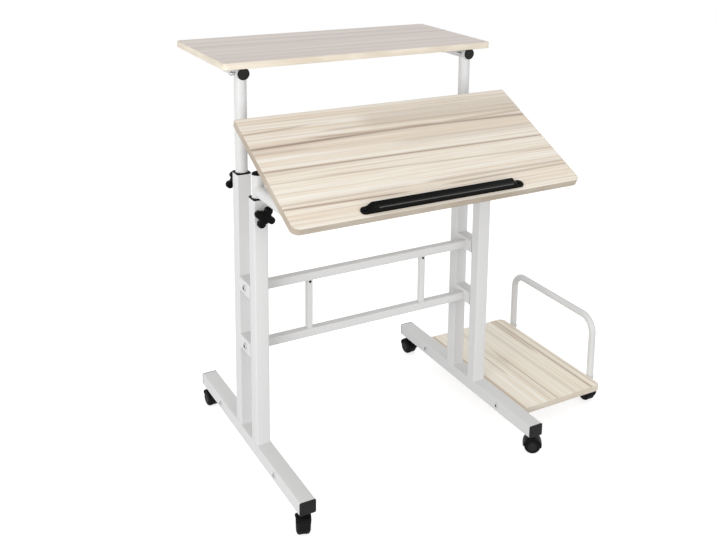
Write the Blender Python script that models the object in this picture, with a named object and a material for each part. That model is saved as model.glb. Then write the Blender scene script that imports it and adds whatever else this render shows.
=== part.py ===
"""A mobile desk: an upper deck and a tilting lower deck on telescopic legs, with a side shelf."""

import math

import bmesh
import bpy

for item in list(bpy.data.objects):
    bpy.data.objects.remove(item, do_unlink=True)

# Driving dimensions in metres. X is right, Y is back, Z is up, and the floor is z = 0.
BOARD_WIDTH = 0.700
BOARD_DEPTH = 0.335
BOARD_THICKNESS = 0.015
BOARD_EDGE_ROUND = 0.0012
BOARD_CORNER = 0.004
UPPER_CORNER = 0.012
LOWER_DEPTH = 0.3435
LOWER_FRONT_CORNER = 0.018
UPPER_TOP = 0.9575
UPPER_BOARD_Y = 0.1785

LEG_X = 0.298
FOOT_WIDTH = 0.037
FOOT_HEIGHT = 0.030
FOOT_LENGTH = 0.611
FOOT_WALL = 0.0016
FOOT_CORNER = 0.003
FOOT_BOTTOM = 0.0525
PLUG_DEPTH = 0.014
PLUG_PROUD = 0.0026
PLUG_INSET = 0.0004

POST_SIDE = 0.0325
POST_WALL = 0.0012
POST_CORNER = 0.003
POST_SPACING = 0.099
REAR_POST_TOP = 0.6965
FRONT_POST_TOP = 0.6660
COLLAR_FLANGE = 0.0036
COLLAR_LIP = 0.0004
COLLAR_SKIRT = 0.025
CROSS_HEIGHTS = {"lower": 0.2980, "upper": 0.4400}
RAIL_SIDE = 0.020
RAIL_WALL = 0.0012
RAIL_CORNER = 0.002
STRUT_SIDE = 0.014
STRUT_X = 0.1545

TUBE_DIAMETER = 0.028
TUBE_WALL = 0.0015
REAR_TUBE_BOTTOM = 0.450
FRONT_TUBE_BOTTOM = 0.395
FRONT_TUBE_TOP = 0.721
UPPER_ARM_FRONT = 0.0290
UPPER_ARM_BACK = 0.3250
LOWER_ARM_Z = 0.685
LOWER_ARM_FRONT = -0.268
DOME_HEIGHT = 0.0065
END_PLUG_DOME = 0.0045

STAR_RADIUS = 0.025
STAR_WAIST = 0.0145
STAR_THICKNESS = 0.016
STAR_HUB_RADIUS = 0.009
STAR_HUB_LENGTH = 0.014
STAR_STUD_RADIUS = 0.004
FRONT_STAR_Z = 0.634
REAR_STAR_Z = 0.666
STAR_TURNS = {"front_left": 14, "rear_left": 24, "front_right": 70, "rear_right": 40}

TILT_AT_REST = math.radians(25.1)
HINGE_Y = -0.2404
HINGE_Z = 0.7315
HINGE_DROP = 0.008
HINGE_FROM_FRONT = 0.1188
PIN_RADIUS = 0.003
PIN_HEAD_RADIUS = 0.0045
PIN_HEAD_LENGTH = 0.002
LUG_THICKNESS = 0.003
LUG_ROUND = 0.0065
LUG_SINK = 0.0012
PLATE_THICKNESS = 0.003
SLOT_RADIUS = 0.1008
SLOT_BAND = 0.010
LOCK_DROP = math.radians(5.1)
TILT_TRAVEL = math.radians(45.0)
SLOT_OVERRUN = math.radians(1.5)
FLANGE_WIDTH = 0.0216
FLANGE_THICKNESS = 0.0025
FLANGE_FRONT = 0.025
LOCK_KNOB_RADIUS = 0.010
LOCK_KNOB_LENGTH = 0.018

STOP_BLOCK_LENGTH = 0.356
STOP_TAB_REACH = 0.021
STOP_LENGTH = STOP_BLOCK_LENGTH + 2 * STOP_TAB_REACH
STOP_DEPTH = 0.0205
STOP_HEIGHT = 0.0140
STOP_TAB_HEIGHT = 0.0032
STOP_FROM_FRONT = 0.0192

SHELF_WIDTH = 0.2565
SHELF_LENGTH = 0.438
SHELF_Y = -0.006
SHELF_TOP = 0.0744
SHELF_CORNER = 0.016
HOOP_DIAMETER = 0.018
HOOP_WALL = 0.0015
HOOP_SPAN = 0.3412
HOOP_TOP = 0.2314
HOOP_BEND = 0.040

WHEEL_RADIUS = 0.020
WHEEL_PAIR_WIDTH = 0.0316
WHEEL_GAP = 0.0088
WHEEL_SHOULDER = 0.0016
WHEEL_DISH = 0.0016
HUB_RADIUS = 0.007
AXLE_RADIUS = 0.003
CASTER_TRAIL = 0.009
CASTER_STEM_INSET = 0.024
HOOD_CLEARANCE = 0.0013
HOOD_THICKNESS = 0.0022
HOOD_WIDTH = 0.034
HOOD_SPAN = math.radians(206)
WEB_THICKNESS = 0.0066
WEB_BOSS_RADIUS = 0.0075
NECK_WIDTH = 0.016
SWIVEL_RADIUS = 0.0105
SWIVEL_HEIGHT = 0.0030
STEM_RADIUS = 0.005
STEM_LENGTH = 0.018

# Clearances: between touching pieces, between sliding or turning ones, and under a caster's swivel.
GAP = 0.0003
RUNNING = 0.0004
SLIDE = 0.00025
SWIVEL_GAP = 0.0008

# Facets of a full circle and of a rounded corner.
ROUND = 24
SMALL_ROUND = 12
STAR_ROUND = 24
WHEEL_ROUND = 16
TUBE_CORNER_STEPS = 2
PANEL_CORNER_STEPS = 3
SHARP = math.radians(40)
QUARTER = math.pi / 2

# Base colour, roughness and metallic value of each finish.
FINISHES = {
    "white_steel": ((0.80, 0.80, 0.80, 1), 0.42, 0.0),
    "laminate": ((0.79, 0.70, 0.58, 1), 0.50, 0.0),
    "black_plastic": ((0.022, 0.022, 0.024, 1), 0.48, 0.0),
    "black_gloss": ((0.016, 0.016, 0.018, 1), 0.25, 0.0),
    "tread": ((0.030, 0.030, 0.032, 1), 0.65, 0.0),
}

# Places that follow from the driving dimensions.
FOOT_TOP = FOOT_BOTTOM + FOOT_HEIGHT
POST_Y = POST_SPACING / 2
TUBE_RADIUS = TUBE_DIAMETER / 2
TUBE_BORE = TUBE_RADIUS - TUBE_WALL
UPPER_UNDERSIDE = UPPER_TOP - BOARD_THICKNESS
UPPER_ARM_Z = UPPER_UNDERSIDE - TUBE_RADIUS - GAP
SHELF_LEFT = LEG_X + FOOT_WIDTH / 2 + GAP
HOOP_RADIUS = HOOP_DIAMETER / 2
HOOP_X = SHELF_LEFT + SHELF_WIDTH + GAP + HOOP_RADIUS
LOWER_FRONT_Y = (
    HINGE_Y
    - HINGE_FROM_FRONT * math.cos(TILT_AT_REST)
    - (HINGE_DROP + BOARD_THICKNESS) * math.sin(TILT_AT_REST)
)
MIDDLE_X = (HOOP_X + HOOD_WIDTH / 2 - BOARD_WIDTH / 2) / 2
MIDDLE_Y = (UPPER_BOARD_Y + BOARD_DEPTH / 2 + LOWER_FRONT_Y) / 2
LOCK_Y = HINGE_Y + SLOT_RADIUS * math.cos(LOCK_DROP)
LOCK_Z = HINGE_Z - SLOT_RADIUS * math.sin(LOCK_DROP)
LUG_X = TUBE_RADIUS + LUG_THICKNESS
PLATE_X = LUG_X + RUNNING
SIDES = {"left": -1, "right": 1}


# Outlines and shapes

def circle(radius, count=ROUND):
    """Points round a circle, the first on the x axis."""
    turns = [k * math.tau / count for k in range(count)]
    return [(radius * math.cos(turn), radius * math.sin(turn)) for turn in turns]


def rounded_rectangle(width, height, radii, steps=TUBE_CORNER_STEPS):
    """A rectangle about the origin, anticlockwise, whose corners, from +x +y on, have these radii."""
    points = []
    for corner, radius in enumerate(radii):
        side_x = (1, -1, -1, 1)[corner]
        side_y = (1, 1, -1, -1)[corner]
        centre_x = side_x * (width / 2 - radius)
        centre_y = side_y * (height / 2 - radius)
        for step in range(steps + 1):
            angle = (corner + step / steps) * QUARTER
            points.append((centre_x + radius * math.cos(angle), centre_y + radius * math.sin(angle)))
    return points


def square_polar(side, corner, count=ROUND):
    """A rounded square sampled at the same angles as a circle, so that it can be skinned to one."""
    half = side / 2
    points = []
    for x, y in circle(1.0, count):
        reach = half / max(abs(x), abs(y))
        if reach * min(abs(x), abs(y)) > half - corner:
            centre = half - corner
            along = centre * (abs(x) + abs(y))
            reach = along + math.sqrt(along * along - 2 * centre * centre + corner * corner)
        points.append((reach * x, reach * y))
    return points


def level(outline, z):
    return [(x, y, z) for x, y in outline]


def loft(rings, closed=False):
    """Skins rings of points. A closed loft runs back to its first ring, an open one gets end caps."""
    shape = bmesh.new()
    loops = [[shape.verts.new(point) for point in ring] for ring in rings]
    steps = list(zip(loops, loops[1:]))
    if closed:
        steps.append((loops[-1], loops[0]))
    for low, high in steps:
        for k in range(len(low)):
            shape.faces.new((low[k - 1], low[k], high[k], high[k - 1]))
    if not closed:
        shape.faces.new(loops[0])
        shape.faces.new(loops[-1])
    bmesh.ops.recalc_face_normals(shape, faces=shape.faces)
    return shape


def lathe(profile, count=ROUND):
    """Turns a profile of (radius, height) points about Z."""
    return loft([level(circle(radius, count), z) for radius, z in profile])


def hull(points):
    shape = bmesh.new()
    for point in points:
        shape.verts.new(point)
    made = bmesh.ops.convex_hull(shape, input=shape.verts)
    loose = [item for item in made["geom_interior"] if isinstance(item, bmesh.types.BMVert)]
    bmesh.ops.delete(shape, geom=loose, context="VERTS")
    bmesh.ops.recalc_face_normals(shape, faces=shape.faces)
    return shape


def square_tube(width, height, length, wall, corner):
    """An open rectangular tube along Z from its base."""
    outer = rounded_rectangle(width, height, [corner] * 4)
    inner = rounded_rectangle(width - 2 * wall, height - 2 * wall, [corner - wall] * 4)
    rings = [level(outer, 0), level(outer, length), level(inner, length), level(inner, 0)]
    return loft(rings, closed=True)


def coped_tube(radius, wall, length, saddle=None):
    """A round tube along Z whose far end fits round a cross tube of the saddle radius, along Y."""

    def end(points):
        if saddle is None:
            return level(points, length)
        return [(x, y, length - math.sqrt(saddle * saddle - x * x)) for x, y in points]

    outer = circle(radius)
    inner = circle(radius - wall)
    return loft([level(outer, 0), end(outer), end(inner), level(inner, 0)], closed=True)


def board(width, depth, thickness, radii):
    """A panel about its middle, from its underside up, with softened edges."""
    rings = []
    for inset, z in (
        (BOARD_EDGE_ROUND, 0),
        (BOARD_EDGE_ROUND * 0.3, BOARD_EDGE_ROUND * 0.3),
        (0, BOARD_EDGE_ROUND),
        (0, thickness - BOARD_EDGE_ROUND),
        (BOARD_EDGE_ROUND * 0.3, thickness - BOARD_EDGE_ROUND * 0.3),
        (BOARD_EDGE_ROUND, thickness),
    ):
        smaller = [radius - inset for radius in radii]
        outline = rounded_rectangle(width - 2 * inset, depth - 2 * inset, smaller, PANEL_CORNER_STEPS)
        rings.append(level(outline, z))
    return loft(rings)


# Scene objects

def material(name, finish):
    colour, roughness, metallic = FINISHES[finish]
    made = bpy.data.materials.new(name)
    made.use_nodes = True
    shader = made.node_tree.nodes["Principled BSDF"]
    shader.inputs["Base Color"].default_value = colour
    shader.inputs["Roughness"].default_value = roughness
    shader.inputs["Metallic"].default_value = metallic
    return made


def place(item, parent, location, rotation):
    bpy.context.scene.collection.objects.link(item)
    item.parent = parent
    item.location = location
    item.rotation_euler = rotation
    return item


def frame(name, parent, location=(0, 0, 0), rotation=(0, 0, 0)):
    """An empty that carries the pieces of one body."""
    return place(bpy.data.objects.new(name, None), parent, location, rotation)


def part(name, shape, finish, parent, location=(0, 0, 0), rotation=(0, 0, 0)):
    mesh = bpy.data.meshes.new(name)
    shape.to_mesh(mesh)
    shape.free()
    mesh.shade_smooth()
    mesh.set_sharp_from_angle(angle=SHARP)
    mesh.materials.append(material(name, finish))
    return place(bpy.data.objects.new(name, mesh), parent, location, rotation)


def combine(target, operation, shape, location=(0, 0, 0), rotation=(0, 0, 0)):
    """Joins a shape to a part or cuts it away, in the frame of the part's parent."""
    count = len(target.modifiers) + 1
    name = f"{target.name}_{operation.lower()}_{count}"
    mesh = bpy.data.meshes.new(name)
    shape.to_mesh(mesh)
    shape.free()
    tool = place(bpy.data.objects.new(name, mesh), target.parent, location, rotation)
    tool.hide_render = True
    tool.display_type = "WIRE"
    modifier = target.modifiers.new(name, "BOOLEAN")
    modifier.operation = operation
    modifier.solver = "EXACT"
    modifier.object = tool


ALONG_X = (0, QUARTER, 0)
ALONG_Y = (-QUARTER, 0, 0)
FACING_FRONT = (QUARTER, 0, 0)


# Base frame: feet, posts, ties, rails and struts

def foot(side, sign):
    x = sign * LEG_X
    middle = FOOT_BOTTOM + FOOT_HEIGHT / 2
    shape = square_tube(FOOT_WIDTH, FOOT_HEIGHT, FOOT_LENGTH, FOOT_WALL, FOOT_CORNER)
    tube = part(f"foot_{side}", shape, "white_steel", desk, (x, -FOOT_LENGTH / 2, middle), ALONG_Y)
    for end, along in (("front", -1), ("rear", 1)):
        stem_y = along * (FOOT_LENGTH / 2 - CASTER_STEM_INSET)
        bore = STEM_RADIUS + RUNNING
        hole = lathe([(bore, -FOOT_WALL), (bore, 2 * FOOT_WALL)], SMALL_ROUND)
        combine(tube, "DIFFERENCE", hole, (x, stem_y, FOOT_BOTTOM))
        facing = FACING_FRONT if along < 0 else ALONG_Y
        place_y = along * FOOT_LENGTH / 2
        part(f"foot_plug_{end}_{side}", foot_plug(), "black_plastic", desk, (x, place_y, middle), facing)


def foot_plug():
    """A plug in the open end of a foot, with a chamfered flange that covers the tube's rim."""
    inside = 2 * (FOOT_WALL + GAP)
    chamfer = PLUG_PROUD / 4
    shank = rounded_rectangle(FOOT_WIDTH - inside, FOOT_HEIGHT - inside, [FOOT_CORNER - FOOT_WALL] * 4)

    def flange(inset):
        return rounded_rectangle(FOOT_WIDTH - 2 * inset, FOOT_HEIGHT - 2 * inset, [FOOT_CORNER - inset] * 4)

    rings = [
        level(shank, -PLUG_DEPTH),
        level(shank, GAP),
        level(flange(PLUG_INSET), GAP),
        level(flange(PLUG_INSET), PLUG_PROUD - chamfer),
        level(flange(PLUG_INSET + chamfer), PLUG_PROUD),
    ]
    return loft(rings)


def post(side, sign, end, along, top, star_z):
    """A square outer tube on the foot, with the hole for its clamp stud in the face that looks away."""
    x = sign * LEG_X
    y = along * POST_Y
    base = FOOT_TOP + GAP
    shape = square_tube(POST_SIDE, POST_SIDE, top - base, POST_WALL, POST_CORNER)
    tube = part(f"post_{end}_{side}", shape, "white_steel", desk, (x, y, base))
    radius = STAR_STUD_RADIUS + RUNNING
    hole = lathe([(radius, -2 * POST_WALL), (radius, POST_WALL)], SMALL_ROUND)
    facing = FACING_FRONT if along < 0 else ALONG_Y
    face = (x, y + along * POST_SIDE / 2, star_z)
    combine(tube, "DIFFERENCE", hole, face, facing)
    part(f"collar_{end}_{side}", collar(), "black_plastic", desk, (x, y, top))
    knob_turn = along * math.radians(STAR_TURNS[f"{end}_{side}"])
    part(f"star_knob_{end}_{side}", star_knob(), "black_plastic", desk, face, (facing[0], knob_turn, 0))


def collar():
    """A liner in the post's mouth: a square skirt, a flange on the end and a round bore for the tube."""
    bore = circle(TUBE_RADIUS + SLIDE)
    skirt = square_polar(POST_SIDE - 2 * POST_WALL - 2 * GAP, POST_CORNER - POST_WALL)
    flange = square_polar(POST_SIDE + 2 * COLLAR_LIP, POST_CORNER)
    rim = square_polar(POST_SIDE - 2 * COLLAR_LIP, POST_CORNER)
    rings = [
        level(skirt, -COLLAR_SKIRT),
        level(skirt, GAP),
        level(flange, GAP),
        level(flange, COLLAR_FLANGE * 0.7),
        level(rim, COLLAR_FLANGE),
        level(bore, COLLAR_FLANGE),
        level(bore, -COLLAR_SKIRT),
    ]
    return loft(rings, closed=True)


def star_knob():
    """A four-lobed clamp knob whose hub stands on the post and whose stud reaches the tube inside."""

    def lobes(scale):
        mean = (STAR_RADIUS + STAR_WAIST) / 2
        swing = (STAR_RADIUS - STAR_WAIST) / 2
        outline = []
        for x, y in circle(1.0, STAR_ROUND):
            reach = scale * (mean - swing * math.cos(4 * math.atan2(y, x)))
            outline.append((reach * x, reach * y))
        return outline

    stud = circle(STAR_STUD_RADIUS, STAR_ROUND)
    hub = circle(STAR_HUB_RADIUS, STAR_ROUND)
    to_tube = POST_SIDE / 2 - TUBE_RADIUS - RUNNING
    seat = GAP
    low = STAR_HUB_LENGTH
    high = STAR_HUB_LENGTH + STAR_THICKNESS
    rings = [
        level(stud, -to_tube),
        level(stud, seat),
        level(hub, seat),
        level(hub, low),
        level(lobes(0.90), low),
        level(lobes(1.0), low + STAR_THICKNESS * 0.15),
        level(lobes(1.0), high - STAR_THICKNESS * 0.25),
        level(lobes(0.88), high - STAR_THICKNESS * 0.06),
        level(lobes(0.60), high),
    ]
    return loft(rings)


def cross_frame():
    """The ties inside each pair of posts, the rails between the sides and the struts between them."""
    tie_length = POST_SPACING - POST_SIDE - 2 * GAP
    rail_length = 2 * LEG_X - POST_SIDE - 2 * GAP
    for height, z in CROSS_HEIGHTS.items():
        for side, sign in SIDES.items():
            shape = square_tube(POST_SIDE, POST_SIDE, tie_length, POST_WALL, POST_CORNER)
            start = (sign * LEG_X, -tie_length / 2, z)
            part(f"tie_{height}_{side}", shape, "white_steel", desk, start, ALONG_Y)
        shape = square_tube(RAIL_SIDE, RAIL_SIDE, rail_length, RAIL_WALL, RAIL_CORNER)
        part(f"rail_{height}", shape, "white_steel", desk, (-rail_length / 2, 0, z), ALONG_X)
    strut_base = CROSS_HEIGHTS["lower"] + RAIL_SIDE / 2 + GAP
    strut_length = CROSS_HEIGHTS["upper"] - CROSS_HEIGHTS["lower"] - RAIL_SIDE - 2 * GAP
    for side, sign in SIDES.items():
        shape = square_tube(STRUT_SIDE, STRUT_SIDE, strut_length, RAIL_WALL, RAIL_CORNER)
        part(f"strut_{side}", shape, "white_steel", desk, (sign * STRUT_X, 0, strut_base))


# Upper deck

def upper_side(side, sign):
    """The rear telescopic tube, the arm that it carries and the plug in the arm's front end."""
    x = sign * LEG_X
    length = UPPER_ARM_Z - REAR_TUBE_BOTTOM
    shape = coped_tube(TUBE_RADIUS, TUBE_WALL, length, TUBE_RADIUS + GAP)
    part(f"inner_tube_rear_{side}", shape, "white_steel", upper_deck, (x, 0, REAR_TUBE_BOTTOM))
    front = UPPER_ARM_FRONT - POST_Y
    shape = coped_tube(TUBE_RADIUS, TUBE_WALL, UPPER_ARM_BACK - UPPER_ARM_FRONT)
    part(f"upper_arm_{side}", shape, "white_steel", upper_deck, (x, front, UPPER_ARM_Z), ALONG_Y)
    plug = lathe(
        [
            (TUBE_BORE - GAP, -PLUG_DEPTH),
            (TUBE_BORE - GAP, GAP),
            (TUBE_RADIUS, GAP),
            (TUBE_RADIUS, END_PLUG_DOME * 0.3),
            (TUBE_RADIUS * 0.80, END_PLUG_DOME * 0.78),
            (TUBE_RADIUS * 0.35, END_PLUG_DOME),
        ],
        SMALL_ROUND,
    )
    part(f"arm_plug_{side}", plug, "black_plastic", upper_deck, (x, front, UPPER_ARM_Z), FACING_FRONT)


def upper_board():
    shape = board(BOARD_WIDTH, BOARD_DEPTH, BOARD_THICKNESS, [UPPER_CORNER] * 4)
    part("upper_board", shape, "laminate", upper_deck, (0, UPPER_BOARD_Y - POST_Y, UPPER_UNDERSIDE))


# Lower deck: lifting arms

def lower_side(side, sign):
    """The front telescopic tube with its dome, and the arm whose lug carries the hinge and the lock."""
    x = sign * LEG_X
    lug_face = x - sign * LUG_X
    inward = (0, -sign * QUARTER, 0)
    shape = coped_tube(TUBE_RADIUS, TUBE_WALL, FRONT_TUBE_TOP - FRONT_TUBE_BOTTOM)
    part(f"inner_tube_front_{side}", shape, "white_steel", lower_deck, (x, 0, FRONT_TUBE_BOTTOM))
    dome = lathe(
        [
            (TUBE_BORE - GAP, -PLUG_DEPTH),
            (TUBE_BORE - GAP, GAP),
            (TUBE_RADIUS, GAP),
            (TUBE_RADIUS, DOME_HEIGHT * 0.25),
            (TUBE_RADIUS * 0.90, DOME_HEIGHT * 0.58),
            (TUBE_RADIUS * 0.60, DOME_HEIGHT * 0.88),
            (TUBE_RADIUS * 0.2, DOME_HEIGHT),
        ],
        SMALL_ROUND,
    )
    part(f"tube_dome_{side}", dome, "black_plastic", lower_deck, (x, 0, FRONT_TUBE_TOP))

    front = LOWER_ARM_FRONT + POST_Y
    shape = coped_tube(TUBE_RADIUS, TUBE_WALL, -front, TUBE_RADIUS + GAP)
    arm = part(f"lower_arm_{side}", shape, "white_steel", lower_deck, (x, front, LOWER_ARM_Z), ALONG_Y)
    combine(arm, "UNION", lug(x - sign * (TUBE_RADIUS - LUG_SINK), lug_face))
    hole = lathe([(PIN_RADIUS + RUNNING, -LUG_X), (PIN_RADIUS + RUNNING, LUG_X)], SMALL_ROUND)
    combine(arm, "DIFFERENCE", hole, (lug_face, LOCK_Y + POST_Y, LOCK_Z), inward)
    pin = lathe(
        [
            (PIN_RADIUS, -LUG_SINK),
            (PIN_RADIUS, PLATE_THICKNESS + RUNNING + GAP),
            (PIN_HEAD_RADIUS, PLATE_THICKNESS + RUNNING + GAP),
            (PIN_HEAD_RADIUS, PLATE_THICKNESS + RUNNING + PIN_HEAD_LENGTH),
        ],
        SMALL_ROUND,
    )
    combine(arm, "UNION", pin, (lug_face, HINGE_Y + POST_Y, HINGE_Z), inward)
    lock_at = (lug_face, LOCK_Y + POST_Y, LOCK_Z)
    part(f"lock_knob_{side}", lock_knob(), "black_plastic", lower_deck, lock_at, inward)


def lug(sunk_face, free_face):
    """The plate on the arm's inner side: a hull round the hinge, the lock and two points on the arm."""
    spots = [(HINGE_Y, HINGE_Z), (LOCK_Y, LOCK_Z), (HINGE_Y, LOWER_ARM_Z), (LOCK_Y, LOWER_ARM_Z)]
    points = []
    for spot_y, spot_z in spots:
        for y, z in circle(LUG_ROUND, SMALL_ROUND):
            points.append((sunk_face, spot_y + POST_Y + y, spot_z + z))
            points.append((free_face, spot_y + POST_Y + y, spot_z + z))
    return hull(points)


def lock_knob():
    """A round clamp knob with six shallow grips, on a stud through the quadrant's slot and the lug."""

    def grip(scale):
        outline = []
        for x, y in circle(1.0):
            reach = scale * LOCK_KNOB_RADIUS * (0.94 + 0.06 * math.cos(6 * math.atan2(y, x)))
            outline.append((reach * x, reach * y))
        return outline

    stud = circle(PIN_RADIUS)
    seat = PLATE_THICKNESS + 2 * RUNNING
    rings = [
        level(stud, -LUG_THICKNESS),
        level(stud, seat),
        level(grip(0.85), seat),
        level(grip(1.0), seat + LOCK_KNOB_LENGTH * 0.15),
        level(grip(1.0), seat + LOCK_KNOB_LENGTH * 0.85),
        level(grip(0.8), seat + LOCK_KNOB_LENGTH),
    ]
    return loft(rings)


# Lower deck: the tilting board with its quadrants and pen stop, in the hinge's frame

def arc_band(radius, half, first, last):
    """A round-ended band along an arc about the origin, from one drop below the Y axis to another."""
    steps = 12
    turns = [first + (last - first) * k / steps for k in range(steps + 1)]
    points = []
    for start, drops in ((0, turns), (math.pi, turns[::-1])):
        edge = radius + half * math.cos(start)
        points += [(edge * math.cos(drop), -edge * math.sin(drop)) for drop in drops]
        end = drops[-1]
        for k in range(1, 6):
            turn = end + start + k * math.pi / 6
            y = radius * math.cos(end) + half * math.cos(turn)
            z = -radius * math.sin(end) - half * math.sin(turn)
            points.append((y, z))
    return points


def tilt_quadrant(side, sign):
    """A slotted sector plate, flanged under the board: it turns on the hinge pin, held at its slot."""
    near = sign * (LEG_X - PLATE_X)
    far = near - sign * PLATE_THICKNESS
    beyond = (near + sign * RUNNING, far - sign * RUNNING)
    top = HINGE_DROP - GAP
    first = LOCK_DROP - SLOT_OVERRUN
    last = LOCK_DROP + TILT_TRAVEL + SLOT_OVERRUN
    back = SLOT_RADIUS + SLOT_BAND

    def through(outline, faces):
        return loft([[(x, y, z) for y, z in outline] for x in faces])

    sector = through(arc_band(SLOT_RADIUS, SLOT_BAND, first, last), (near, far))
    plate = part(f"tilt_quadrant_{side}", sector, "white_steel", tilt_table)

    corners = [(-FLANGE_FRONT, top), (-FLANGE_FRONT, top - FLANGE_THICKNESS), (back, top)]
    boss = circle(LUG_ROUND, SMALL_ROUND)
    start_y = SLOT_RADIUS * math.cos(first)
    start_z = -SLOT_RADIUS * math.sin(first)
    head = [(start_y + y, start_z + z) for y, z in circle(SLOT_BAND, SMALL_ROUND)]
    combine(plate, "UNION", hull([(x, y, z) for x in (near, far) for y, z in corners + boss + head]))
    flange_faces = (near, far - sign * FLANGE_WIDTH)
    flange_ends = (-FLANGE_FRONT, back)
    flange_levels = (top - FLANGE_THICKNESS, top)
    combine(
        plate, "UNION", hull([(x, y, z) for x in flange_faces for y in flange_ends for z in flange_levels])
    )

    clear = PIN_RADIUS + RUNNING
    combine(plate, "DIFFERENCE", through(arc_band(SLOT_RADIUS, clear, first, last), beyond))
    combine(plate, "DIFFERENCE", through(circle(clear, SMALL_ROUND), beyond))


def lower_board():
    corners = [BOARD_CORNER, BOARD_CORNER, LOWER_FRONT_CORNER, LOWER_FRONT_CORNER]
    shape = board(BOARD_WIDTH, LOWER_DEPTH, BOARD_THICKNESS, corners)
    middle = LOWER_DEPTH / 2 - HINGE_FROM_FRONT
    part("lower_board", shape, "laminate", tilt_table, (0, middle, HINGE_DROP))


def pen_stop():
    """A moulded ledge near the board's front edge: a long block on a thin base with round end tabs."""
    half_depth = STOP_DEPTH / 2
    soft = STOP_HEIGHT * 0.16

    def section(x, depth, height):
        bevel = min(soft, height / 3)
        outline = [
            (-depth, 0),
            (-depth, height - bevel),
            (-depth + bevel, height),
            (depth - bevel, height),
            (depth, height - bevel),
            (depth, 0),
        ]
        return [(x, y, z) for y, z in outline]

    stations = []
    for k in range(5):
        swing = k * QUARTER / 4
        depth = half_depth * max(math.sin(swing), 0.3)
        x = STOP_LENGTH / 2 - half_depth + half_depth * math.cos(swing)
        stations.append((x, depth, STOP_TAB_HEIGHT))
    stations.append((STOP_BLOCK_LENGTH / 2, half_depth, STOP_TAB_HEIGHT))
    stations.append((STOP_BLOCK_LENGTH / 2 - soft, half_depth, STOP_HEIGHT - soft))
    stations.append((STOP_BLOCK_LENGTH / 2 - 2 * soft, half_depth, STOP_HEIGHT))
    rings = [section(x, depth, height) for x, depth, height in stations]
    rings += [section(-x, depth, height) for x, depth, height in reversed(stations)]
    y = STOP_FROM_FRONT - HINGE_FROM_FRONT
    z = HINGE_DROP + BOARD_THICKNESS + GAP
    part("pen_stop", loft(rings), "black_gloss", tilt_table, (0, y, z))


# Side shelf and its hoop

def shelf():
    corners = [SHELF_CORNER, BOARD_CORNER, BOARD_CORNER, SHELF_CORNER]
    shape = board(SHELF_WIDTH, SHELF_LENGTH, BOARD_THICKNESS, corners)
    middle = (SHELF_LEFT + SHELF_WIDTH / 2, SHELF_Y, SHELF_TOP - BOARD_THICKNESS)
    part("shelf_board", shape, "laminate", desk, middle)


def hoop():
    """A tube bent into an upside-down U, open at both feet, swept as a circle along its centre line."""
    steps = 4
    half = HOOP_SPAN / 2
    path = [(-half, FOOT_BOTTOM, 0.0)]
    for k in range(steps + 1):
        turn = k * QUARTER / steps
        y = -half + HOOP_BEND * (1 - math.cos(turn))
        path.append((y, HOOP_TOP - HOOP_BEND * (1 - math.sin(turn)), turn))
    path += [(-y, z, math.pi - turn) for y, z, turn in reversed(path)]

    def ring(y, z, turn, radius):
        section = circle(radius, SMALL_ROUND)
        return [(across, y - up * math.cos(turn), z + up * math.sin(turn)) for across, up in section]

    outer = [ring(*spot, HOOP_RADIUS) for spot in path]
    inner = [ring(*spot, HOOP_RADIUS - HOOP_WALL) for spot in reversed(path)]
    part("shelf_hoop", loft(outer + inner, closed=True), "white_steel", desk, (HOOP_X, 0, 0))


# Casters, each in a frame at its stem's foot on the floor, with the axle ahead of the stem along -Y

def caster(name, x, y, heading):
    swivel = frame(f"{name}_swivel", desk, (x, y, 0), (0, 0, math.radians(heading)))
    body = part(f"{name}_body", hood(), "black_plastic", swivel)
    for shape in (web(), neck(), stem()):
        combine(body, "UNION", shape)
    part(f"{name}_wheels", wheel_pair(), "tread", swivel, (0, -CASTER_TRAIL, WHEEL_RADIUS), ALONG_X)


def about_axle(x, reach, turn):
    """A point this far from the axle, turned up from the -Y direction."""
    return (x, -CASTER_TRAIL - reach * math.cos(turn), WHEEL_RADIUS + reach * math.sin(turn))


HOOD_BORE = WHEEL_RADIUS + HOOD_CLEARANCE
HOOD_RADIUS = HOOD_BORE + HOOD_THICKNESS
HOOD_START = (math.pi - HOOD_SPAN) / 2


def hood():
    """The curved guard over both wheels, a band swept round the axle with rounded shoulders."""
    steps = 9
    half = HOOD_WIDTH / 2
    shoulder = HOOD_THICKNESS * 0.8
    rings = []
    for k in range(steps + 1):
        turn = HOOD_START + HOOD_SPAN * k / steps
        rings.append(
            [
                about_axle(-half, HOOD_BORE, turn),
                about_axle(-half, HOOD_RADIUS - shoulder, turn),
                about_axle(-half + shoulder, HOOD_RADIUS, turn),
                about_axle(half - shoulder, HOOD_RADIUS, turn),
                about_axle(half, HOOD_RADIUS - shoulder, turn),
                about_axle(half, HOOD_BORE, turn),
            ]
        )
    return loft(rings)


def web():
    """The plate between the wheels: it fills the hood and narrows to the axle's boss below it."""
    half = WEB_THICKNESS / 2
    filled = HOOD_BORE + HOOD_THICKNESS / 2
    margin = math.radians(6)
    edge = []
    hole = []
    for k in range(SMALL_ROUND):
        turn = k * math.tau / SMALL_ROUND - QUARTER
        inside = HOOD_START + margin < turn < HOOD_START + HOOD_SPAN - margin
        edge.append((filled if inside else WEB_BOSS_RADIUS, turn))
        hole.append((AXLE_RADIUS + RUNNING, turn))
    order = ((-half, edge), (half, edge), (half, hole), (-half, hole))
    return loft([[about_axle(x, *spot) for spot in spots] for x, spots in order], closed=True)


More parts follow.
